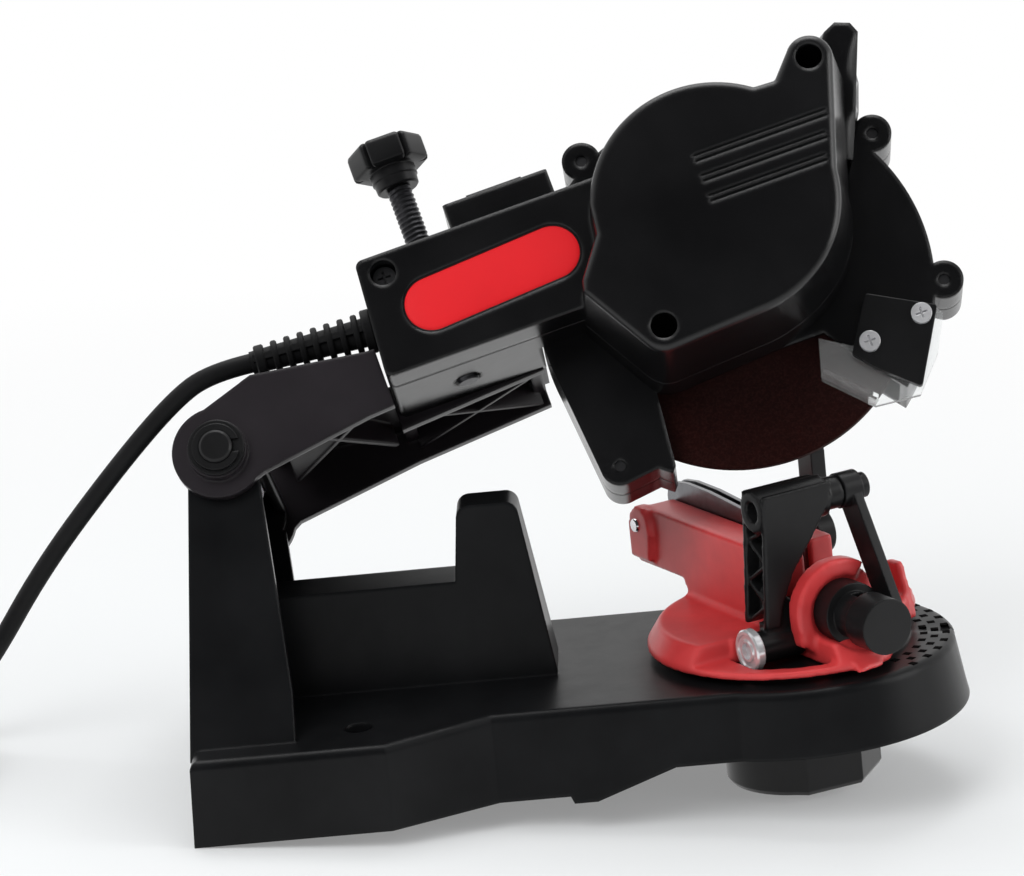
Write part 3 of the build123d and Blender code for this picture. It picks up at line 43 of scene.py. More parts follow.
# Places
tool = {
    "pivot": Vector((-35.3, 15.4, 88.8)) * mm,   # head's pivot pin
    "lean": radians(30),                         # wheel's lean from the vertical
    "armRise": radians(15),                      # slope of the arm at rest
    "turnX": 131.0 * mm,                         # turntable's axis
    "viceTurn": radians(30),                     # vice's turn on the base
    "baseRear": -50.5 * mm,                      # base's rear end
    "standSlope": 0.1025,                        # the stand's slope in this frame
    "wheelReach": 164.5,                         # wheel's centre along the arm, mm
}
across = Vector((0, -cos(tool["lean"]), sin(tool["lean"])))
upLean = Vector((0, sin(tool["lean"]), cos(tool["lean"])))
alongArm = Vector((1, 0, 0)) * cos(tool["armRise"]) + upLean * sin(tool["armRise"])
overArm = upLean * cos(tool["armRise"]) - Vector((1, 0, 0)) * sin(tool["armRise"])
alongJaw = Vector((sin(tool["viceTurn"]), -cos(tool["viceTurn"]), 0))
acrossJaw = Vector((cos(tool["viceTurn"]), sin(tool["viceTurn"]), 0))


def place(origin, xAxis, zAxis):
    # Matrix that puts a piece drawn in millimetres into the frame.
    x = Vector(xAxis).normalized()
    z = Vector(zAxis).normalized()
    y = z.cross(x)
    turn = Matrix((x, y, z)).transposed().to_4x4()
    return Matrix.Translation(Vector(origin)) @ turn @ Matrix.Scale(mm, 4)


# head: x along the arm, y over it, z to the near side; vice: x along the jaw, y across it, z up
headPlace = place(tool["pivot"], alongArm, across)
wheelPlace = headPlace @ Matrix.Translation((tool["wheelReach"], 0, 0))
vicePlace = place((tool["turnX"], 0, 0), alongJaw, (0, 0, 1))


# Camera
view = {
    "target": Vector((52.26, 0, 98.07)) * mm,
    "azimuth": radians(2.54),
    "elevation": radians(14.90),
    "roll": radians(-5.89),
    "distance": 1.3923,
    "focalPixels": 4603,
    "imageWidth": 1024,
    "sensorWidth": 36,
    "nearClip": 0.05,
}


def aimCamera():
    az, el, roll = view["azimuth"], view["elevation"], view["roll"]
    back = Vector((sin(az) * cos(el), -cos(az) * cos(el), sin(el)))
    right = Vector((cos(az), sin(az), 0))
    up = back.cross(right)
    rolledRight = right * cos(roll) + up * sin(roll)
    rolledUp = up * cos(roll) - right * sin(roll)
    data = bpy.data.cameras.new("camera")
    data.sensor_width = view["sensorWidth"]
    data.lens = view["focalPixels"] / view["imageWidth"] * data.sensor_width
    data.clip_start = view["nearClip"]
    camera = bpy.data.objects.new("camera", data)
    turn = Matrix((rolledRight, rolledUp, back)).transposed().to_4x4()
    camera.matrix_world = Matrix.Translation(view["target"] + back * view["distance"]) @ turn
    bpy.context.scene.collection.objects.link(camera)
    bpy.context.scene.camera = camera


aimCamera()
bpy.context.scene.view_settings.view_transform = "Standard"


# Shader writing
class Wire:
    # A shader socket that takes part in Python sums.
    def __init__(self, finish, socket):
        self.finish = finish
        self.socket = socket

    def math(self, operation, *others):
        return self.finish.node("ShaderNodeMath", {"operation": operation}, self, *others)[0]

    def __add__(self, other):
        return self.math("ADD", other)

    def __radd__(self, other):
        return self.math("ADD", other)

    def __sub__(self, other):
        return self.math("SUBTRACT", other)

    def __rsub__(self, other):
        return (self * -1) + other

    def __mul__(self, other):
        return self.math("MULTIPLY", other)

    def __rmul__(self, other):
        return self.math("MULTIPLY", other)

    def __truediv__(self, other):
        return self.math("DIVIDE", other)

    def above(self, edge, soft):
        # 0 below the edge and 1 above it, over a soft width.
        return ((self - edge) / soft + 0.5).math("MINIMUM", 1).math("MAXIMUM", 0)


class Finish:
    # A material whose nodes are written as Python calls.
    def __init__(self, name):
        self.material = bpy.data.materials.new(name)
        self.material.use_nodes = True
        self.tree = self.material.node_tree
        self.shader = self.tree.nodes["Principled BSDF"]
        self.output = self.tree.nodes["Material Output"]

    def node(self, kind, settings=None, *inputs, **named):
        made = self.tree.nodes.new(kind)
        for key, value in (settings or {}).items():
            setattr(made, key, value)
        for index, value in enumerate(inputs):
            self.feed(made.inputs[index], value)
        for key, value in named.items():
            self.feed(made.inputs[key.replace("_", " ")], value)
        return [Wire(self, socket) for socket in made.outputs]

    def feed(self, socket, value):
        if isinstance(value, Wire):
            self.tree.links.new(value.socket, socket)
        elif value is not None:
            if socket.type == "RGBA" and len(value) == 3:
                value = (*value, 1)
            socket.default_value = value

    def set(self, **named):
        for key, value in named.items():
            self.feed(self.shader.inputs[key.replace("_", " ")], value)

    def place(self):
        return self.node("ShaderNodeTexCoord")[3]

    def noise(self, scale, detail=3, roughness=0.55, stretch=None):
        spot = self.place()
        if stretch:
            spot = self.node("ShaderNodeMapping", None, spot, Scale=stretch)[0]
        return self.node("ShaderNodeTexNoise", None, spot, Scale=scale, Detail=detail, Roughness=roughness)[0]

    def blend(self, mask, low, high):
        made = self.tree.nodes.new("ShaderNodeMix")
        made.data_type = "RGBA"
        self.feed(made.inputs[0], mask)
        self.feed(made.inputs[6], low)
        self.feed(made.inputs[7], high)
        return Wire(self, made.outputs[2])

    def bump(self, height, depth, edge=0.0):
        # Surface relief of a depth in metres over softly rounded edges.
        normal = None
        if edge:
            normal = self.node("ShaderNodeBevel", {"samples": 6}, Radius=edge)[0]
        made = self.node("ShaderNodeBump", None, Strength=1.0, Distance=depth, Height=height,
                         Normal=normal)[0]
        self.set(Normal=made)


finishes = {}
plastics = {
    "baseBlack": {"colour": (0.0036, 0.0038, 0.0043), "roughness": 0.33, "specular": 0.15, "edge": 0.0014},
    "housingBlack": {"colour": (0.0032, 0.0032, 0.0036), "roughness": 0.22, "specular": 0.42,
                     "grain": 0.000002, "edge": 0.0022},
    "carrierBlack": {"colour": (0.012, 0.010, 0.012), "roughness": 0.34, "specular": 0.22, "edge": 0.0016},
    "knobBlack": {"colour": (0.0050, 0.0050, 0.0054), "roughness": 0.34, "specular": 0.25, "edge": 0.0007},
    # painted shade: near-black and without sheen, standing for the shade in the hollows of the scale slots
    "paintedSlotShade": {"colour": (0.0006, 0.0006, 0.0006), "roughness": 0.80, "specular": 0.02},
    "viceRed": {"colour": (0.50, 0.034, 0.036), "roughness": 0.36, "specular": 0.50,
                "edge": 0.0010, "dust": 0.10},
}
metals = {
    "jawSteel": {"colour": (0.20, 0.20, 0.21), "roughness": 0.30, "brushed": True},
    "brightSteel": {"colour": (0.72, 0.72, 0.74), "roughness": 0.20},
    "chromeSteel": {"colour": (0.80, 0.80, 0.82), "roughness": 0.16, "metallic": 0.55},
    "dullSteel": {"colour": (0.10, 0.10, 0.105), "roughness": 0.36, "metallic": 0.8},
    "darkSteel": {"colour": (0.055, 0.055, 0.060), "roughness": 0.38, "metallic": 0.85},
    "springSteel": {"colour": (0.30, 0.30, 0.32), "roughness": 0.32},
    "magnetGrey": {"colour": (0.12, 0.12, 0.13), "roughness": 0.60},
    "plugNickel": {"colour": (0.70, 0.66, 0.55), "roughness": 0.22},
}


def mouldedPlastic(name, colour, roughness, specular, grain=0.00002, edge=0.0008, dust=0.02):
    # Satin moulded plastic: fine spark texture, faint flow marks and softly rounded edges.
    f = Finish(name)
    flow = f.noise(28, 4, 0.6)
    spark = f.noise(2600, 2, 0.5)
    wipe = f.noise(90, 5, 0.7, stretch=(1, 1, 0.35))
    lighter = [c * 1.9 + dust * 0.25 for c in colour]
    f.set(Base_Color=f.blend(flow.above(0.56, 0.5) * 0.7, colour, lighter),
          Roughness=wipe * 0.16 + spark * 0.06 + (roughness - 0.11),
          Specular_IOR_Level=specular)
    f.bump(spark * 0.8 + flow * 0.2, grain, edge)
    finishes[name] = f.material


def metal(name, colour, roughness, brushed=False, edge=0.0003, metallic=1.0):
    # Bare or plated metal: fine scratches, a few duller patches.
    f = Finish(name)
    stretch = (1, 1, 40) if brushed else (1, 1, 1)
    hair = f.noise(1500 if brushed else 900, 3, 0.6, stretch=stretch)
    patch = f.noise(160, 4, 0.6)
    darker = [c * 0.7 for c in colour]
    f.set(Base_Color=f.blend(patch.above(0.6, 0.4), colour, darker),
          Metallic=metallic,
          Roughness=hair * 0.18 + patch * 0.1 + (roughness - 0.14))
    f.bump(hair, 0.000012 if brushed else 0.000006, edge)
    finishes[name] = f.material


for name, look in plastics.items():
    mouldedPlastic(name, **look)
for name, look in metals.items():
    metal(name, **look)


labelLook = {"colours": ((0.66, 0.010, 0.016), (0.78, 0.016, 0.022)), "roughness": 0.28, "specular": 0.25}


def badgeFinish():
    # Glossy domed label in plain red.
    f = Finish("badgeRed")
    cloud = f.noise(35, 3, 0.5)
    f.set(Base_Color=f.blend(cloud.above(0.5, 0.8), *labelLook["colours"]),
          Roughness=cloud * 0.10 + labelLook["roughness"], Specular_IOR_Level=labelLook["specular"])
    f.bump(f.noise(420, 2), 0.000006, 0.0004)
    finishes["badgeRed"] = f.material


abrasiveLook = {
    "bond": (0.020, 0.0034, 0.0026),
    "pore": (0.011, 0.0024, 0.0020),
    "grain": (0.06, 0.022, 0.018),
    "grainShare": 0.16,
    "roughness": 0.62,
    "specular": 0.12,
}


def wheelFinish():
    # Vitrified abrasive: maroon bond, darker pores and paler grains.
    f = Finish("abrasiveMaroon")
    grain = f.node("ShaderNodeTexVoronoi", {"feature": "F1"}, f.place(), Scale=1500)
    pores = f.noise(700, 4, 0.65)
    body = f.blend(pores.above(0.52, 0.4), abrasiveLook["bond"], abrasiveLook["pore"])
    pale = f.blend(grain[0].above(0.62, 0.2) * abrasiveLook["grainShare"], body, abrasiveLook["grain"])
    f.set(Base_Color=pale, Roughness=pores * 0.2 + abrasiveLook["roughness"],
          Specular_IOR_Level=abrasiveLook["specular"])
    f.bump(pores * 0.6 + grain[0] * 0.4, 0.00003, 0.0002)
    finishes["abrasiveMaroon"] = f.material


jacketLook = {
    "colours": ((0.006, 0.006, 0.0065), (0.013, 0.013, 0.0135)),
    "roughness": 0.40,
    "specular": 0.16,
}


def rubberFinish():
    # Cord jacket: matt flexible plastic, slightly mottled.
    f = Finish("cordBlack")
    mottle = f.noise(60, 4)
    fine = f.noise(1800, 2)
    f.set(Base_Color=f.blend(mottle.above(0.5, 0.6), *jacketLook["colours"]),
          Roughness=mottle * 0.2 + fine * 0.08 + jacketLook["roughness"],
          Specular_IOR_Level=jacketLook["specular"])
    f.bump(fine, 0.00001, 0.0005)
    finishes["cordBlack"] = f.material


clearLook = {"colour": (0.97, 0.985, 0.985), "roughness": 0.01, "transmission": 0.93, "ior": 1.45}


def clearFinish():
    # Clear shield: thin polished sheet with a faint haze and fine scratches.
    f = Finish("clearPlastic")
    haze = f.noise(120, 4)
    scratch = f.noise(900, 2, stretch=(1, 8, 1))
    f.set(Base_Color=clearLook["colour"], Roughness=haze * 0.05 + scratch * 0.05 + clearLook["roughness"],
          Transmission_Weight=clearLook["transmission"], IOR=clearLook["ior"])
    f.bump(haze, 0.00001)
    finishes["clearPlastic"] = f.material


boardLook = {"colour": (0.01, 0.10, 0.04), "roughness": 0.3}


def boardFinish():
    # Circuit board: green lacquer over rows of tracks.
    f = Finish("boardGreen")
    tracks = f.node("ShaderNodeTexBrick", None, f.place(), Scale=300)[0]
    mask = f.noise(300, 2).above(0.5, 0.1)
    f.set(Base_Color=f.blend(mask * 0.5, boardLook["colour"], tracks),
          Roughness=mask * 0.1 + boardLook["roughness"])
    finishes["boardGreen"] = f.material


badgeFinish()
wheelFinish()
rubberFinish()
clearFinish()
boardFinish()
print("finishes made", len(finishes))


# Stand, lamps and world
surface = {
    "halfSize": 3.0,
    "colour": (0.80, 0.82, 0.83),
    "middle": (0.06, 0.0, 0.0),
    "glowEdge": 0.42,      # distance from the middle at which half the glow is reached, in metres
    "glowWidth": 0.5,
    "nearGlow": 0.25,      # share of glow near the tool, which leaves its shadow in view
    "glossGlow": 0.85,
}
studio = {
    "room": 0.46,          # the room's light on matt surfaces
    "frontCard": 0.05,     # what gloss shows on the near side, where black cards stand
    "cardEdge": (-0.55, 0.10),
    "aim": (0.05, 0, 0.08),
    "lamps": (             # name, place, width and height, power, whether gloss shows it
        ("keyLamp", (-0.5, -1.1, 1.3), (0.9, 0.9), 15, False),
        ("topLamp", (0.1, 0.5, 1.4), (1.0, 0.8), 9, True),
        ("sideLamp", (1.3, -0.2, 0.45), (0.5, 0.9), 5, True),
    ),
}


def makeStand():
    # The pale surface under the tool, sloped in this frame as the tool rests on its clamp knob.
    slope, size = tool["standSlope"], surface["halfSize"]
    mesh = bpy.data.meshes.new("stand")
    corners = [(x, y, -slope * (x - tool["baseRear"])) for x, y in
               ((-size, -size), (size, -size), (size, size), (-size, size))]
    mesh.from_pydata(corners, [], [(0, 1, 2, 3)])
    stand = bpy.data.objects.new("stand", mesh)
    bpy.context.scene.collection.objects.link(stand)
    f = Finish("standWhite")
    f.tree.nodes.remove(f.shader)
    diffuse = f.node("ShaderNodeBsdfDiffuse", None, Color=surface["colour"])[0]
    rays = f.node("ShaderNodeLightPath")
    glow = f.node("ShaderNodeEmission", None, Color=(1, 1, 1), Strength=1.0)[0]
    spot = f.node("ShaderNodeVectorMath", {"operation": "SUBTRACT"}, f.place(), surface["middle"])[0]
    away = f.node("ShaderNodeVectorMath", {"operation": "LENGTH"}, spot)[1]
    far = away.above(surface["glowEdge"], surface["glowWidth"])
    seen = rays[0].math("MAXIMUM", rays[3]).math("MAXIMUM", rays[6])
    near = surface["nearGlow"]
    share = ((far * (1 - near) + near) * seen).math("MAXIMUM", rays[3] * surface["glossGlow"])
    mixed = f.node("ShaderNodeMixShader", None, share, diffuse, glow)[0]
    f.tree.links.new(mixed.socket, f.output.inputs[0])
    mesh.materials.append(f.material)


def softLamp(name, spot, size, power, gloss):
    data = bpy.data.lights.new(name, "AREA")
    data.shape = "RECTANGLE"
    data.size, data.size_y = size
    data.energy = power
    lamp = bpy.data.objects.new(name, data)
    lamp.location = spot
    lamp.visible_glossy = gloss
    lamp.rotation_euler = (Vector(studio["aim"]) - Vector(spot)).to_track_quat("-Z", "Y").to_euler()
    bpy.context.scene.collection.objects.link(lamp)


def makeWorld():
    # White room with black cards on the near side, which only gloss shows.
    world = bpy.data.worlds.new("studio")
    bpy.context.scene.world = world
    world.use_nodes = True
    tree = world.node_tree
    tree.nodes.clear()

    def math(operation, first, second):
        node = tree.nodes.new("ShaderNodeMath")
        node.operation = operation
        for socket, value in zip(node.inputs, (first, second)):
            if isinstance(value, (int, float)):
                socket.default_value = value
            else:
                tree.links.new(value, socket)
        return node.outputs[0]

    rays = tree.nodes.new("ShaderNodeLightPath")
    direction = tree.nodes.new("ShaderNodeTexCoord")
    parts = tree.nodes.new("ShaderNodeSeparateXYZ")
    tree.links.new(direction.outputs["Generated"], parts.inputs[0])
    side = tree.nodes.new("ShaderNodeMapRange")
    side.interpolation_type = "SMOOTHSTEP"
    tree.links.new(parts.outputs["Y"], side.inputs["Value"])
    side.inputs["From Min"].default_value, side.inputs["From Max"].default_value = studio["cardEdge"]
    side.inputs["To Min"].default_value = studio["frontCard"]
    seen = math("MAXIMUM", rays.outputs["Is Camera Ray"], rays.outputs["Is Transmission Ray"])
    gloss = math("MULTIPLY", rays.outputs["Is Glossy Ray"], side.outputs[0])
    matt = math("SUBTRACT", 1, rays.outputs["Is Glossy Ray"])
    strength = math("MAXIMUM", seen, math("MAXIMUM", gloss, math("MULTIPLY", matt, studio["room"])))
    room = tree.nodes.new("ShaderNodeBackground")
    room.inputs[0].default_value = (1, 1, 1, 1)
    tree.links.new(strength, room.inputs[1])
    output = tree.nodes.new("ShaderNodeOutputWorld")
    tree.links.new(room.outputs[0], output.inputs[0])


makeStand()
makeWorld()
for lamp in studio["lamps"]:
    softLamp(*lamp)
print("stage set")


# Mesh helpers
def addPiece(name, mesh, finish, body, node, smooth=35):
    # Links a mesh as a piece that stands for a node and moves with its body.
    piece = bpy.data.objects.new(name, mesh)
    bpy.context.scene.collection.objects.link(piece)
    mesh.materials.clear()
    mesh.materials.append(finishes[finish])
    if smooth:
        mesh.shade_smooth()
        mesh.set_sharp_from_angle(angle=radians(smooth))
    else:
        mesh.shade_flat()
    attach(piece, body)
    if node:
        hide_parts(*([node] if isinstance(node, str) else node))
    return piece


def meshFrom(name, build, matrix):
    work = bmesh.new()
    build(work)
    bmesh.ops.recalc_face_normals(work, faces=work.faces)
    work.transform(matrix)
    mesh = bpy.data.meshes.new(name)
    work.to_mesh(mesh)
    work.free()
    return mesh


def circle(work, radius, z, steps, centre=(0, 0)):
    return [work.verts.new((centre[0] + radius * cos(2 * pi * i / steps),
                            centre[1] + radius * sin(2 * pi * i / steps), z)) for i in range(steps)]


def skin(work, rings, closed=False):
    # Joins rings of equal count into walls, then caps the first and the last unless the row is closed.
    pairs = list(zip(rings, rings[1:]))
    if closed:
        pairs.append((rings[-1], rings[0]))
    for low, high in pairs:
        for i in range(len(low)):
            j = (i + 1) % len(low)
            work.faces.new((low[i], low[j], high[j], high[i]))
    if not closed:
        work.faces.new(rings[0])
        work.faces.new(rings[-1])


def turnProfile(work, profile, steps, centre=(0, 0)):
    # Solid of revolution round z from (radius, height) pairs, closed by end radii of 0.
    rings = []
    for radius, height in profile:
        if radius == 0:
            rings.append([work.verts.new((centre[0], centre[1], height))])
        else:
            rings.append(circle(work, radius, height, steps, centre))
    for low, high in zip(rings, rings[1:]):
        for i in range(steps):
            j = (i + 1) % steps
            if len(low) == 1:
                work.faces.new((low[0], high[i], high[j]))
            elif len(high) == 1:
                work.faces.new((low[i], low[j], high[0]))
            else:
                work.faces.new((low[i], low[j], high[j], high[i]))


def turnRing(work, profile, steps, centre=(0, 0)):
    # Solid of revolution with a hole along its axis: the profile's last point runs back to its first.
    skin(work, [circle(work, radius, z, steps, centre) for radius, z in profile], closed=True)


def prism(work, outline, low, high, slant=0.0, level=0.0):
    # Straight-sided solid over an outline; the slant leans it along z with the outline's y.
    skin(work, [[work.verts.new((x, y, z + slant * (y - level))) for x, y in outline] for z in (low, high)])


def post(work, centre, radius, low, high, steps=32):
    skin(work, [circle(work, radius, z, steps, centre) for z in (low, high)])


def arcBand(inner, outer, start, end, centre=(0, 0), steps=24):
    # Outline of a ring sector between two angles in degrees.
    angles = [radians(start + (end - start) * i / steps) for i in range(steps + 1)]
    return [(centre[0] + r * cos(a), centre[1] + r * sin(a))
            for r, turn in ((outer, angles), (inner, angles[::-1])) for a in turn]


def between(value, start, end):
    # How far a value lies on the way from start to end, from 0 to 1.
    return min(1, max(0, (value - start) / (end - start)))


# Supply cord: its run, its coil and its end in the plug
cord = {
    "radius": 3.0,
    "exit": Vector((-25.47, 18.53, 124.22)),
    "start": Vector((-0.988, -0.092, -0.124)),
    "straight": 13,            # how far the cord keeps its heading past the exit
    "run": ((-50.5, 17.3, 115.1), (-70.5, 17.5, 95.5), (-97.0, 18.5, 66.0), (-117.5, 20.0, 36.5),
            (-131.5, 21.5, 21.5), (-146.0, 23.0, 14.2)),
    "coilCentre": Vector((-168.0, -18.0, 0)),
    "innerRadius": 29.5,
    "outerRadius": 42.5,
    "layerTurns": 2.13,
    "rampTurns": 0.17,
    "layerRise": 6.0,
    "pointsPerTurn": 14,
    "plugRadius": 26.0,        # the last turn's radius where it straightens into the plug
    "plugAngle": 60.0,
    "plugHeight": 25.0,
    "plugDepth": 4,            # how far the cord reaches into the plug
    "length": 1.75,
}


def standHeight(x):
    return -tool["standSlope"] * (x - tool["baseRear"] / mm)


def coilPoint(turns, radius, height):
    # A point of the coil after some turns, height above the stand.
    angle = pi / 2 + turns * 2 * pi
    x = cord["coilCentre"].x + radius * cos(angle)
    y = cord["coilCentre"].y + radius * sin(angle)
    return Vector((x + height * tool["standSlope"], y, standHeight(x) + height))


def coilTurns():
    # Bottom layer inwards, middle layer outwards, top layer inwards, then up to the plug.
    inner, outer, low, rise = cord["innerRadius"], cord["outerRadius"], cord["radius"], cord["layerRise"]
    stages = [
        (cord["layerTurns"], outer, inner, low, low),
        (cord["rampTurns"], inner, inner, low, low + rise),
        (cord["layerTurns"], inner, outer, low + rise, low + rise),
        (cord["rampTurns"], outer, outer, low + rise, low + 2 * rise),
        (cord["layerTurns"], outer, inner, low + 2 * rise, low + 2 * rise),
    ]
    done = sum(stage[0] for stage in stages)
    short = (90 - cord["plugAngle"]) / 360       # the last turn stops this far before a whole one
    stages.append((ceil(done + short) - short - done, inner, cord["plugRadius"],
                   low + 2 * rise, cord["plugHeight"]))
    points = []
    turned = 0
    for turns, startRadius, endRadius, startHeight, endHeight in stages:
        steps = max(2, round(turns * cord["pointsPerTurn"]))
        for step in range(steps):
            share = step / steps
            points.append(coilPoint(turned + turns * share, startRadius + (endRadius - startRadius) * share,
                                    startHeight + (endHeight - startHeight) * share))
        turned += turns
    return points, coilPoint(turned, cord["plugRadius"], cord["plugHeight"])


def makeCord():
    leaving = [cord["exit"], cord["exit"] + cord["start"] * cord["straight"]]
    turns, plugEntry = coilTurns()
    heading = Vector((-sin(radians(cord["plugAngle"])), cos(radians(cord["plugAngle"])), 0))
    points = leaving + [Vector(point) for point in cord["run"]] + turns
    points += [plugEntry, plugEntry + heading * cord["plugDepth"]]
    curve = bpy.data.curves.new("powerCord", "CURVE")
    curve.dimensions = "3D"
    spline = curve.splines.new("NURBS")
    spline.points.add(len(points) - 1)
    for control, point in zip(spline.points, points):
        control.co = (*(point * mm), 1)
    spline.order_u = 3
    spline.use_endpoint_u = True
    spline.resolution_u = 8
    curve.bevel_depth = cord["radius"] * mm
    curve.bevel_resolution = 5
    curve.use_fill_caps = True
    curve.materials.append(finishes["cordBlack"])
    piece = bpy.data.objects.new("powerCord", curve)
    bpy.context.scene.collection.objects.link(piece)
    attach(piece, "root")
    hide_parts("cord_run", "cord_coil")
    return piece


powerCord = makeCord()
print("cord laid")


# Pieces made from the solids' own meshes
def copyOf(node, weld=0.000004):
    # Welded copy of a solid's mesh, free of the seams between its faces.
    work = bmesh.new()
    work.from_mesh(nodes[node].data)
    bmesh.ops.remove_doubles(work, verts=work.verts, dist=weld)
    mesh = bpy.data.meshes.new(node + "Copy")
    work.to_mesh(mesh)
    work.free()
    return mesh


def baked(piece):
    # The piece's mesh with its modifiers applied.
    depsgraph = bpy.context.evaluated_depsgraph_get()
    mesh = bpy.data.meshes.new_from_object(piece.evaluated_get(depsgraph))
    piece.modifiers.clear()
    piece.data = mesh
    return mesh


def fuseCast(name, mesh, finish, body, node, voxel, rounds):
    # A moulding or casting whose parts are fused and whose corners are all run soft.
    piece = bpy.data.objects.new(name, mesh)
    bpy.context.scene.collection.objects.link(piece)
    grid = piece.modifiers.new("grid", "REMESH")
    grid.mode = "VOXEL"
    grid.voxel_size = voxel
    soft = piece.modifiers.new("soft", "SMOOTH")
    soft.factor = 0.5
    soft.iterations = rounds
    mesh = baked(piece)
    bpy.data.objects.remove(piece)
    return addPiece(name, mesh, finish, body, node, smooth=60)


def carved(mesh, build, matrix):
    # The mesh less a solid.
    piece = bpy.data.objects.new("carved", mesh)
    cutter = bpy.data.objects.new("cutter", meshFrom("cutter", build, matrix))
    for item in (piece, cutter):
        bpy.context.scene.collection.objects.link(item)
    cut = piece.modifiers.new("cut", "BOOLEAN")
    cut.operation = "DIFFERENCE"
    cut.object = cutter
    cut.solver = "EXACT"
    mesh = baked(piece)
    for item in (piece, cutter):
        bpy.data.objects.remove(item)
    return mesh


def joined(first, *builds):
    # One mesh from a mesh and further solids, each a pair of a build and its matrix.
    work = bmesh.new()
    if first:
        work.from_mesh(first)
    for build, matrix in builds:
        extra = meshFrom("extra", build, matrix)
        work.from_mesh(extra)
        bpy.data.meshes.remove(extra)
    mesh = bpy.data.meshes.new("joined")
    work.to_mesh(mesh)
    work.free()
    return mesh


# Vice casting: the turntable with its hinge ears, the rim past the stop's pocket, the ring's cheek and a foot
sidePlace = place((tool["turnX"], 0, 0), alongJaw, -acrossJaw)     # x along the jaw, y up, z to the near side
frontPlace = place((tool["turnX"], 0, 0), acrossJaw, alongJaw)     # x across the jaw, y up, z along it
vice = {
    "rim": (38.6, 43.7, -52, -10),                            # inner and outer radius, start and end angle
    "rimLevels": (28, 30.2),
    "rampFoot": ((27, -5), (47.5, -6), (46, 4), (27, 9)),
    "rampTop": ((27, -4), (32.5, -4), (32.5, 7), (27, 8)),
    "rampLevels": (28, 29, 37),
    "seat": ((11, -48), (56, -48), (56, -28), (11, -28)),     # cut out for the chain stop's foot
    "seatLevels": (30.2, 38),
    "cheek": (10.4, 15.6, 55, 235, (1.0, 42.5)),              # as the rim, with its centre
    "cheekReach": (23.5, 29.5),
    "foot": ((-13.5, 33), (-8, 33), (-9.5, 41), (-14.5, 41)),
    "footReach": (24, 29),
    "rearEar": ((-66.6, 43), (-55, 43), (-53.6, 52), (-54.6, 57.5), (-58, 60.4), (-62, 60.4), (-65.6, 57.6),
                (-66.8, 54)),
    "rearEarReach": (12, 16.2),
    "hingeEar": ((3, 29), (3.5, 44), (5, 45.5), (11, 46), (15.5, 34), (17, 29)),
    "hingeEarReach": (-35.5, -32.8),
    "pinsAt": ((-62.0, 54.0), (6, 46)),
    "pin": ((0, -17), (2.3, -17), (2.3, 16.4), (1.9, 16.9), (0, 17.1)),
    "hingeAt": (20.0, 34.0),
    "screw": ((0, 1), (3, 1), (3, 24.9), (6.3, 24.9), (6.6, 25.3), (6.6, 27.4), (6.1, 27.9), (5.1, 27.9),
              (4.8, 27.4), (3.6, 27.4), (3.3, 27.9), (2.6, 27.9), (2.4, 26.4), (0, 26.4)),
    "towerFace": 26.8,
    "towerEnd": -18,
    "plate": ((-64.8, 45), (-65.5, 60), (-64.5, 63.2), (-60, 65.4), (-53, 66.2), (-40, 66.0), (-20, 64.4),
              (9, 62.8), (9, 45)),
    "plateThick": 1.4,
    "plateHoles": (((-62, 54), 2.8), ((6, 46), 2.8), ((-30, 48), 3.3)),      # centre and radius
    "plates": (("fixedPlate", "fixed_plate", "turntable", 0.2), ("movingPlate", "moving_plate", "jaw", -3.1)),
}


def jawPlate(name, node, body, low):
    high = low + vice["plateThick"]

    def plate(work):
        prism(work, vice["plate"], low, high)

    def holes(work):
        for centre, radius in vice["plateHoles"]:
            post(work, centre, radius, low - 1, high + 1)

    mesh = carved(meshFrom(name, plate, sidePlace), holes, sidePlace)
    addPiece(name, mesh, "jawSteel", body, node, smooth=30)


def makeVice():
    def rim(work):
        prism(work, arcBand(*vice["rim"]), *vice["rimLevels"])
        foot, top = vice["rampFoot"], vice["rampTop"]
        skin(work, [[work.verts.new((x, y, z)) for x, y in outline]
                    for outline, z in zip((foot, foot, top), vice["rampLevels"])])

    def cheek(work):
        prism(work, arcBand(*vice["cheek"]), *vice["cheekReach"])
        prism(work, vice["foot"], *vice["footReach"])

    def ears(work):
        prism(work, vice["rearEar"], *vice["rearEarReach"])
        prism(work, vice["hingeEar"], *vice["hingeEarReach"])

    def seat(work):
        prism(work, vice["seat"], *vice["seatLevels"])

    mesh = carved(copyOf("turntable"), seat, vicePlace)
    mesh = joined(mesh, (rim, vicePlace), (cheek, frontPlace), (ears, sidePlace))
    casting = fuseCast("viceBody", mesh, "viceRed", "turntable", "turntable",
                       voxel=0.0007, rounds=8)
    inverse = vicePlace.inverted()
    for vertex in casting.data.vertices:      # the tower's outer face stays flat, clear of the lever
        spot = inverse @ vertex.co
        if spot.y > vice["towerFace"] and spot.x < vice["towerEnd"]:
            vertex.co = vicePlace @ Vector((spot.x, vice["towerFace"], spot.z))
    fuseCast("movingJaw", copyOf("moving_jaw"), "viceRed", "jaw", "moving_jaw",
             voxel=0.0006, rounds=6)

    def pins(work):
        for centre in vice["pinsAt"]:
            turnProfile(work, vice["pin"], 32, centre)

    addPiece("guidePins", meshFrom("guidePins", pins, sidePlace), "brightSteel", "turntable", "guide_pins",
             smooth=40)

    def screw(work):
        turnProfile(work, vice["screw"], 48, vice["hingeAt"])

    addPiece("hingeScrew", meshFrom("hingeScrew", screw, sidePlace), "chromeSteel", "turntable",
             "hinge_screw", smooth=30)
    for plate in vice["plates"]:
        jawPlate(*plate)


makeVice()


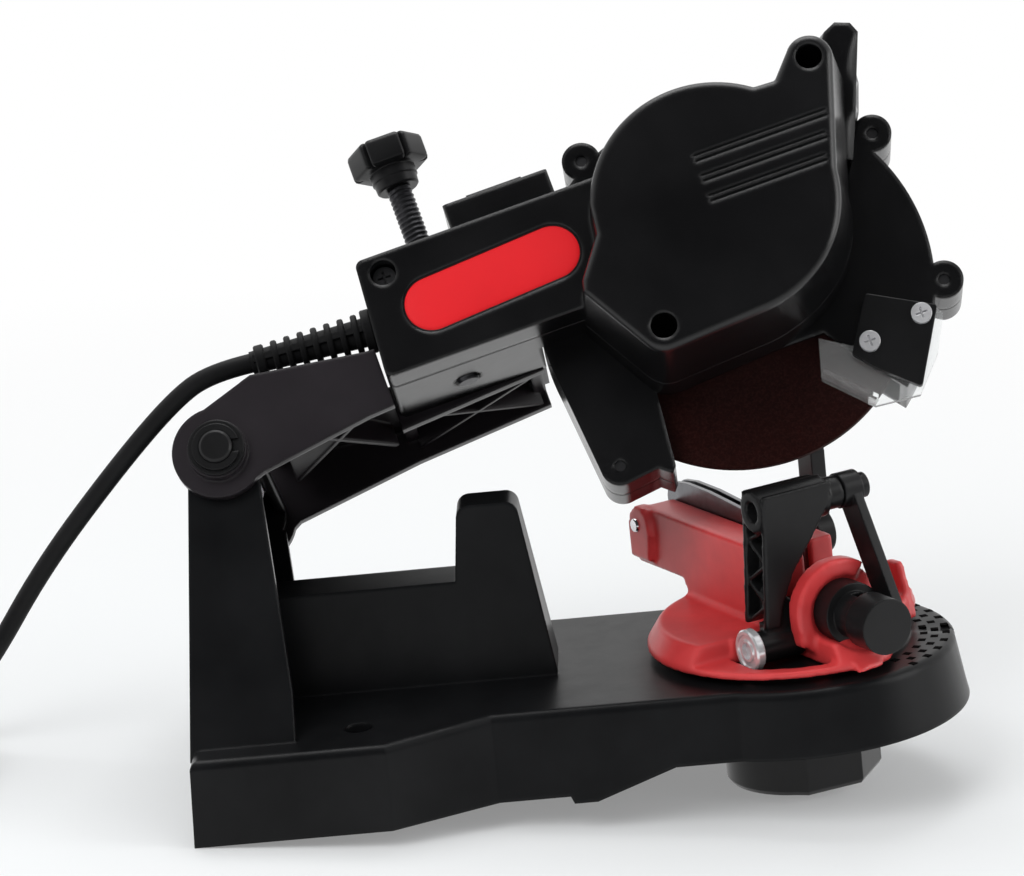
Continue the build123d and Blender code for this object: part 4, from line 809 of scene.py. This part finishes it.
# Chain stop: a tapered box with an open, ribbed side, a tube over it and a lug under it
stop = {
    "panel": ((-21.5, 39.5), (-21.5, 81.8), (2.5, 81.8), (0.5, 74), (-4.5, 66), (-11.5, 56), (-15.5, 46),
              (-16.5, 39.5)),
    "panelReaches": ((24.6, 26.6), (13.8, 15.6)),
    "back": ((-16.6, 40), (-16.6, 80), (-15, 80), (-15, 40)),
    "backReach": (15, 25.6),
    "slant": 0.115,
    "ribs": ((40, 47), (53, 47), (53, 60), (66, 60), (66, 71)),     # height at the far and at the near end
    "ribEnds": (15.2, 25.4),
    "ribThick": 1.4,
    "ribReach": (16, 20.9),
    "tubeAt": (20.0, 76.0),
    "tubes": ((6.4, -2.5, 21.9), (5.0, -8.0, 0)),                   # radius, far and near end
    "bore": 3.05,
    "lugAt": (20.0, 34.0),
    "lug": (5.0, 9.4, 24.6),                                        # radius, far and near end
    "stem": ((17, 34), (21.8, 34), (21.8, 41), (17, 41)),
    "stemReach": (9.4, 21),
    "foot": ((-20, 34), (-9.4, 34), (-9.4, 41), (6, 41), (6, 47), (-12, 47), (-17, 52), (-20, 52)),
    "footReach": (18, 22),
}


def makeStop():
    slant, level = stop["slant"], stop["tubeAt"][1]

    def plates(work):
        for low, high in stop["panelReaches"]:
            prism(work, stop["panel"], low, high, slant, level)
        prism(work, stop["back"], *stop["backReach"], slant, level)

    def ribs(work):
        half = stop["ribThick"] / 2
        for low, high in stop["ribs"]:
            far, near = stop["ribEnds"]
            far += slant * (low - level)
            near += slant * (high - level)
            outline = [(far, low - half), (near, high - half), (near, high + half), (far, low + half)]
            prism(work, outline, *stop["ribReach"])

    def tubes(work):
        bore = stop["bore"]
        for radius, low, high in stop["tubes"]:
            turnRing(work, ((radius, low), (radius, high), (bore, high), (bore, low)), 48, stop["tubeAt"])
        post(work, stop["lugAt"], *stop["lug"])
        prism(work, stop["stem"], *stop["stemReach"])

    def foot(work):
        prism(work, stop["foot"], *stop["footReach"])

    mesh = joined(None, (plates, frontPlace), (ribs, sidePlace), (tubes, sidePlace), (foot, frontPlace))
    fuseCast("chainStopBracket", mesh, "knobBlack", "chain_stop", "stop_bracket",
             voxel=0.00045, rounds=3)


makeStop()


# Angle scale: short slots in the base round the turntable, in three staggered rows, drawn as thin near-black
# patches of painted shade that stand 0.03 mm proud of the base
scale = {
    "rows": (39.2, 42.6, 46.0),
    "start": -42,
    "end": 34,
    "step": 9.4,
    "length": 2.3,
    "width": 2.3,
    "top": 25.83,
    "sunk": 0.4,
    "proud": 0.03,
}


def makeScale():
    half = scale["width"] / 2
    slot = ((0, -half), (scale["length"], -half), (scale["length"], half), (0, half))
    low, high = scale["top"] - scale["sunk"], scale["top"] + scale["proud"]

    def build(work):
        for row, reach in enumerate(scale["rows"]):
            angle = scale["start"] + (row % 2) * scale["step"] / 2
            while angle < scale["end"]:
                turn = radians(angle)
                outward = Vector((cos(turn), sin(turn)))
                sideways = Vector((-sin(turn), cos(turn)))
                corners = [(reach + along) * outward + side * sideways for along, side in slot]
                prism(work, [tuple(corner) for corner in corners], low, high)
                angle += scale["step"]

    matrix = place((tool["turnX"], 0, 0), (1, 0, 0), (0, 0, 1))
    # each slot is a flat patch of painted shade laid on the base, not a hollow cut into it
    addPiece("scaleSlotShades", meshFrom("scaleSlotShades", build, matrix), "paintedSlotShade", "root", None,
             smooth=0)


makeScale()


# Clamp knob under the base: round towards the rear, flat-sided towards the front
clampKnob = {
    "round": 23.4,
    "roundAngles": (112, 268, 6),       # start, end and step
    "corner": 24.4,
    "cornerAngles": (272, 317, 2, 47, 92),
    "low": -16.3,
    "high": -1.6,
    "neck": 12.8,
    "neckRoot": -5.6,
    "neckTop": 2.4,
    "bore": 4.0,
}


def makeClampKnob():
    low, high = clampKnob["low"], clampKnob["high"]
    sides = ((clampKnob["round"], range(*clampKnob["roundAngles"])),
             (clampKnob["corner"], clampKnob["cornerAngles"]))
    outline = [(r * cos(radians(a)), r * sin(radians(a))) for r, angles in sides for a in angles]
    levels = ((0.90, low), (0.965, low + 0.5), (1.0, low + 1.8), (1.0, high - 1.2), (0.97, high - 0.3),
              (0.93, high))     # share of the outline, height

    def knob(work):
        skin(work, [[work.verts.new((x * part, y * part, z)) for x, y in outline] for part, z in levels])
        bore, neck = clampKnob["bore"], clampKnob["neck"]
        root, top = clampKnob["neckRoot"], clampKnob["neckTop"]
        turnRing(work, ((bore, root), (neck, root), (neck, top), (bore, top)), 48)

    matrix = place((tool["turnX"], 0, 0), (1, 0, 0), (0, 0, 1))
    addPiece("clampKnobShape", meshFrom("clampKnobShape", knob, matrix), "knobBlack", "clamp", "clamp_knob",
             smooth=20)


makeClampKnob()


# Measures of the depth screw, which the shells make room for
depth = {
    "reach": 78.5,             # along the arm from the pivot
    "across": 7.0,
    "tip": 2.0,
    "top": 74.5,
    "radius": 4.0,
    "pitch": 1.6,
    "threadDepth": 0.6,
    "nut": (28.0, 40.4, 4.9),  # lower and upper end, outer radius
    "nutGap": 0.2,
    "knobHeight": 8.5,
    "knobRadius": 12.2,
    "notch": 3.0,
    "notchStart": 0.72,        # share of a lobe's half width that is free of the notch
    "swell": 1.06,
    "collar": ((3.1, -6.5), (6.2, -6.5), (6.7, -6.0), (6.9, -3.4), (7.3, -3.2), (7.3, 0.5), (3.1, 0.5)),
}
depthPlace = place(headPlace @ Vector((depth["reach"], 0, depth["across"])), alongArm, overArm)


# Head shells: their drafted side walls, widest towards the seam at the wheel's end
shell = {
    "start": 175.0,            # the draft grows along the arm from here
    "full": 200.0,
    "shift": 3.0,
    "seam": 25.0,
    "seamWidth": 0.1,
    "face": 58.0,
    "keepBelow": 15.0,         # past the seam it fades out between these heights
    "keepAbove": 30.0,
    "bore": (2.5, 3.9),        # the depth screw's hole in the solids lies between these radii
    "boreGap": 0.25,
}


def makeShells():
    inverse = headPlace.inverted()
    for name, node in (("coverShell", "front_shell"), ("backShell", "rear_shell")):
        mesh = copyOf(node)
        for vertex in mesh.vertices:
            spot = inverse @ vertex.co
            draft = shell["shift"] * between(spot.x, shell["start"], shell["full"])
            draft *= between(spot.z, shell["face"], shell["seam"])
            if spot.z < shell["seam"] - shell["seamWidth"]:
                draft *= between(spot.y, shell["keepAbove"], shell["keepBelow"])
            spot.x += draft
            fromScrew = Vector((spot.x - depth["reach"], spot.z - depth["across"]))
            if shell["bore"][0] < fromScrew.length < shell["bore"][1]:
                wider = fromScrew.normalized() * (depth["radius"] + shell["boreGap"])
                spot.x, spot.z = depth["reach"] + wider.x, depth["across"] + wider.y
            vertex.co = headPlace @ spot
        addPiece(name, mesh, "housingBlack", "head", node, smooth=0)


makeShells()


# Badge: a plain domed red label inside a thin dark rim
badge = {
    "rear": (75.5, 20.2),
    "front": (114.7, 22.6),
    "floor": 37.2,
    "radius": 8.9,
    "rimWidth": 0.5,
    # how far in from the edge, and height over the floor
    "dome": ((0, 0), (0, 0.30), (0.3, 0.45), (1.2, 0.55), (4, 0.64), (7, 0.66)),
    "rim": ((0, 0), (0, 0.55), (0.12, 0.65), (0.35, 0.65), (0.48, 0.5), (0.48, 0)),
}


def stadium(work, radius, height, steps=24):
    rear, front = Vector(badge["rear"]), Vector(badge["front"])
    tilt = atan2(*(front - rear).yx)
    ring = []
    for centre, start in ((front, -pi / 2), (rear, pi / 2)):
        for i in range(steps + 1):
            angle = tilt + start + pi * i / steps
            x, y = centre.x + radius * cos(angle), centre.y + radius * sin(angle)
            ring.append(work.verts.new((x, y, height)))
    return ring


def makeBadge():
    level, outer = badge["floor"], badge["radius"]
    label = outer - badge["rimWidth"]

    def dome(work):
        skin(work, [stadium(work, label - inset, level + z) for inset, z in badge["dome"]])

    def rim(work):
        skin(work, [stadium(work, outer - inset, level + z) for inset, z in badge["rim"]], closed=True)

    addPiece("badgeDome", meshFrom("badgeDome", dome, headPlace), "badgeRed", "head", "badge_plate")
    addPiece("badgeRim", meshFrom("badgeRim", rim, headPlace), "knobBlack", "head", None)


makeBadge()
print("castings and shells made")


# Strain relief: a tapered sleeve of rings joined by a spine on its near and far side
relief = {
    "root": Vector((57.0, 25.3, 15.0)),
    "tip": Vector((17.8, 28.6, 15.0)),
    "rootRadius": 6.4,
    "tipRadius": 4.7,
    "shank": (5.3, 5.0),       # radius and length of the plain end inside the arm
    "core": (4.6, 3.5),        # radius at the root and at the tip
    "coreStart": 1.5,
    "rings": 9,
    "firstRing": 0.6,
    "ringWidth": 1.9,
    "endShare": 1.6,           # how much wider the first and the last ring are
    "rootFlare": 0.5,
    "chamfer": 0.4,
    "spineWidth": 2.2,
    "spineRoot": 2,
    "spineInset": 0.5,
    "spineEnd": 0.8,
    "bareTip": 1.0,
}


def makeRelief():
    length = (relief["tip"] - relief["root"]).length
    # drawn along z, then laid on the arm
    worldRoot = headPlace @ relief["root"]
    worldAxis = (headPlace @ relief["tip"] - worldRoot).normalized()
    matrix = place(worldRoot, across, worldAxis)
    rootRadius, taper = relief["rootRadius"], relief["tipRadius"] - relief["rootRadius"]
    lastRing = relief["rings"] - 1

    def rings(work):
        gap = (length - relief["bareTip"]) / relief["rings"]
        chamfer = relief["chamfer"]
        for ring in range(relief["rings"]):
            low = relief["firstRing"] + ring * gap
            high = low + relief["ringWidth"] * (relief["endShare"] if ring in (0, lastRing) else 1)
            outer = rootRadius + taper * low / length + (0 if ring else relief["rootFlare"])
            turnProfile(work, [(0, low), (outer - chamfer, low), (outer, low + chamfer),
                               (outer, high - chamfer), (outer - chamfer, high), (0, high)], 40)

    def spines(work):
        half, root = relief["spineWidth"] / 2, relief["spineRoot"]
        for side in (1, -1):
            ends = []
            for z in (relief["firstRing"], length - relief["spineEnd"]):
                reach = rootRadius - relief["spineInset"] + taper * z / length
                ends.append([work.verts.new((side * x, y, z)) for x, y in
                             ((root, -half), (reach, -half), (reach, half), (root, half))])
            skin(work, ends)

    def build(work):
        shank, shankLength = relief["shank"]
        coreRoot, coreTip = relief["core"]
        turnProfile(work, [(0, -shankLength), (shank, -shankLength), (shank, 0),
                           (coreRoot, relief["coreStart"]), (coreTip, length), (0, length)], 40)
        rings(work)
        spines(work)

    addPiece("strainRelief", meshFrom("strainRelief", build, matrix), "cordBlack", "head", "strain_relief",
             smooth=40)


makeRelief()


# Grinding wheel with a dressed rim and a paper blotter under each flange
wheel = {
    "radius": 54.0,
    "bore": 11.5,
    "half": 1.6,
    "edge": 0.35,
    "edgeSlope": 0.1,
    "blotter": 20.0,
    "blotterEdge": 0.3,
    "blotterThick": 0.15,
    "steps": 180,
}


def makeWheel():
    radius, half, edge, blotter = (wheel[key] for key in ("radius", "half", "edge", "blotter"))
    face = half - wheel["blotterThick"]
    side = [(wheel["bore"], half), (blotter, half), (blotter + wheel["blotterEdge"], face),
            (radius - edge, face), (radius, half - edge - wheel["edgeSlope"])]

    def build(work):
        turnRing(work, [(r, -z) for r, z in side] + side[::-1], wheel["steps"])

    addPiece("grindingDisc", meshFrom("grindingDisc", build, wheelPlace), "abrasiveMaroon", "wheel",
             "grinding_wheel", smooth=30)


makeWheel()


# Depth screw with a cut thread, its nut, and its six-lobed knob with a collar
def threadedRod(work, radius, pitch, cut, low, high, steps=24):
    # A round rod whose surface follows a single-start thread and narrows at its tip.
    rows = ceil((high - low) / (pitch / 4))
    tipRows = 3
    rings = []
    for row in range(rows + 1):
        z = low + (high - low) * row / rows
        ring = []
        for i in range(steps):
            phase = (z / pitch - i / steps) % 1
            r = radius - cut * abs(2 * phase - 1)
            if row < tipRows:
                r = min(r, radius - cut * (tipRows - row) / 2)
            ring.append(work.verts.new((r * cos(2 * pi * i / steps), r * sin(2 * pi * i / steps), z)))
        rings.append(ring)
    skin(work, rings)


def lobedRing(work, radius, notch, z, lobes=6, perLobe=20):
    # One level of the knob: flat-topped lobes with round notches between them.
    ring = []
    start = depth["notchStart"]
    for i in range(lobes * perLobe):
        angle = 2 * pi * i / (lobes * perLobe)
        fromMiddle = (i / perLobe) % 1 - 0.5
        wave = abs(fromMiddle) * 2          # 0 at a lobe's middle, 1 at a notch
        flat = cos(pi / lobes) / cos(fromMiddle * 2 * pi / lobes)
        dip = max(0, (wave - start) / (1 - start))
        r = radius * flat * depth["swell"] - notch * (1 - sqrt(max(0, 1 - dip * dip)))
        ring.append(work.verts.new((r * cos(angle), r * sin(angle), z)))
    return ring


def makeDepthScrew():
    def rod(work):
        threadedRod(work, depth["radius"], depth["pitch"], depth["threadDepth"], depth["tip"], depth["top"])

    addPiece("depthScrew", meshFrom("depthScrew", rod, depthPlace), "darkSteel", "depth_stop", "depth_screw",
             smooth=35)

    def nut(work):
        low, high, outer = depth["nut"]
        bore = depth["radius"] + depth["nutGap"]
        turnRing(work, ((bore, low), (outer, low), (outer, high), (bore, high)), 40)

    addPiece("depthNut", meshFrom("depthNut", nut, depthPlace), "darkSteel", "head", "depth_nut")
    low = depth["top"]
    high = low + depth["knobHeight"]
    levels = ((0.90, low), (0.975, low + 0.5), (1.0, low + 1.4), (1.0, high - 1.6), (0.97, high - 0.6),
              (0.90, high), (0.72, high), (0.69, high - 0.7))     # share of the knob's radius, height

    def knob(work):
        skin(work, [lobedRing(work, depth["knobRadius"] * part, depth["notch"] * part, z)
                    for part, z in levels])
        turnRing(work, [(r, low + z) for r, z in depth["collar"]], 48)

    addPiece("depthKnob", meshFrom("depthKnob", knob, depthPlace), "knobBlack", "depth_stop", "depth_knob",
             smooth=35)


makeDepthScrew()
print("small pieces made")


# Finishes of the solids that no piece stands for, and of the rest beneath their pieces
nodeFinishes = {
    "baseBlack": ("base_body",),
    "housingBlack": ("front_shell", "rear_shell", "guard_front", "guard_rear", "switch_body",
                     "switch_rocker"),
    "carrierBlack": ("carrier_arm",),
    "knobBlack": ("depth_knob", "clamp_knob", "clamp_lever", "adjuster_knob", "shield_plate", "stop_bracket",
                  "gear_plate", "motor_end_cap", "stop_pawl", "adjuster_shaft", "pivot_pin", "stop_pin",
                  "pivot_washers", "pivot_circlips", "depth_screw", "depth_nut"),
    "viceRed": ("turntable", "moving_jaw"),
    "badgeRed": ("badge_plate",),
    "jawSteel": ("fixed_plate", "moving_plate", "motor_can", "flange_near", "flange_far", "armature",
                 "clamp_washer"),
    "chromeSteel": ("shield_screws", "hinge_screw"),
    "dullSteel": ("carrier_screws", "housing_screws", "guard_screws"),
    "brightSteel": ("clamp_bolt", "guide_pins", "jaw_screw", "arbor", "arbor_bearings", "motor_shaft",
                    "motor_pinion", "wheel_gear", "wheel_nut"),
    "springSteel": ("return_spring",),
    "magnetGrey": ("motor_magnets",),
    "abrasiveMaroon": ("grinding_wheel",),
    "clearPlastic": ("eye_shield",),
    "boardGreen": ("circuit_board",),
    "cordBlack": ("strain_relief", "plug_body"),
    "plugNickel": ("plug_pins",),
}
for finish, names in nodeFinishes.items():
    for name in names:
        mesh = nodes[name].data
        mesh.materials.clear()
        mesh.materials.append(finishes[finish])
print("solids finished")
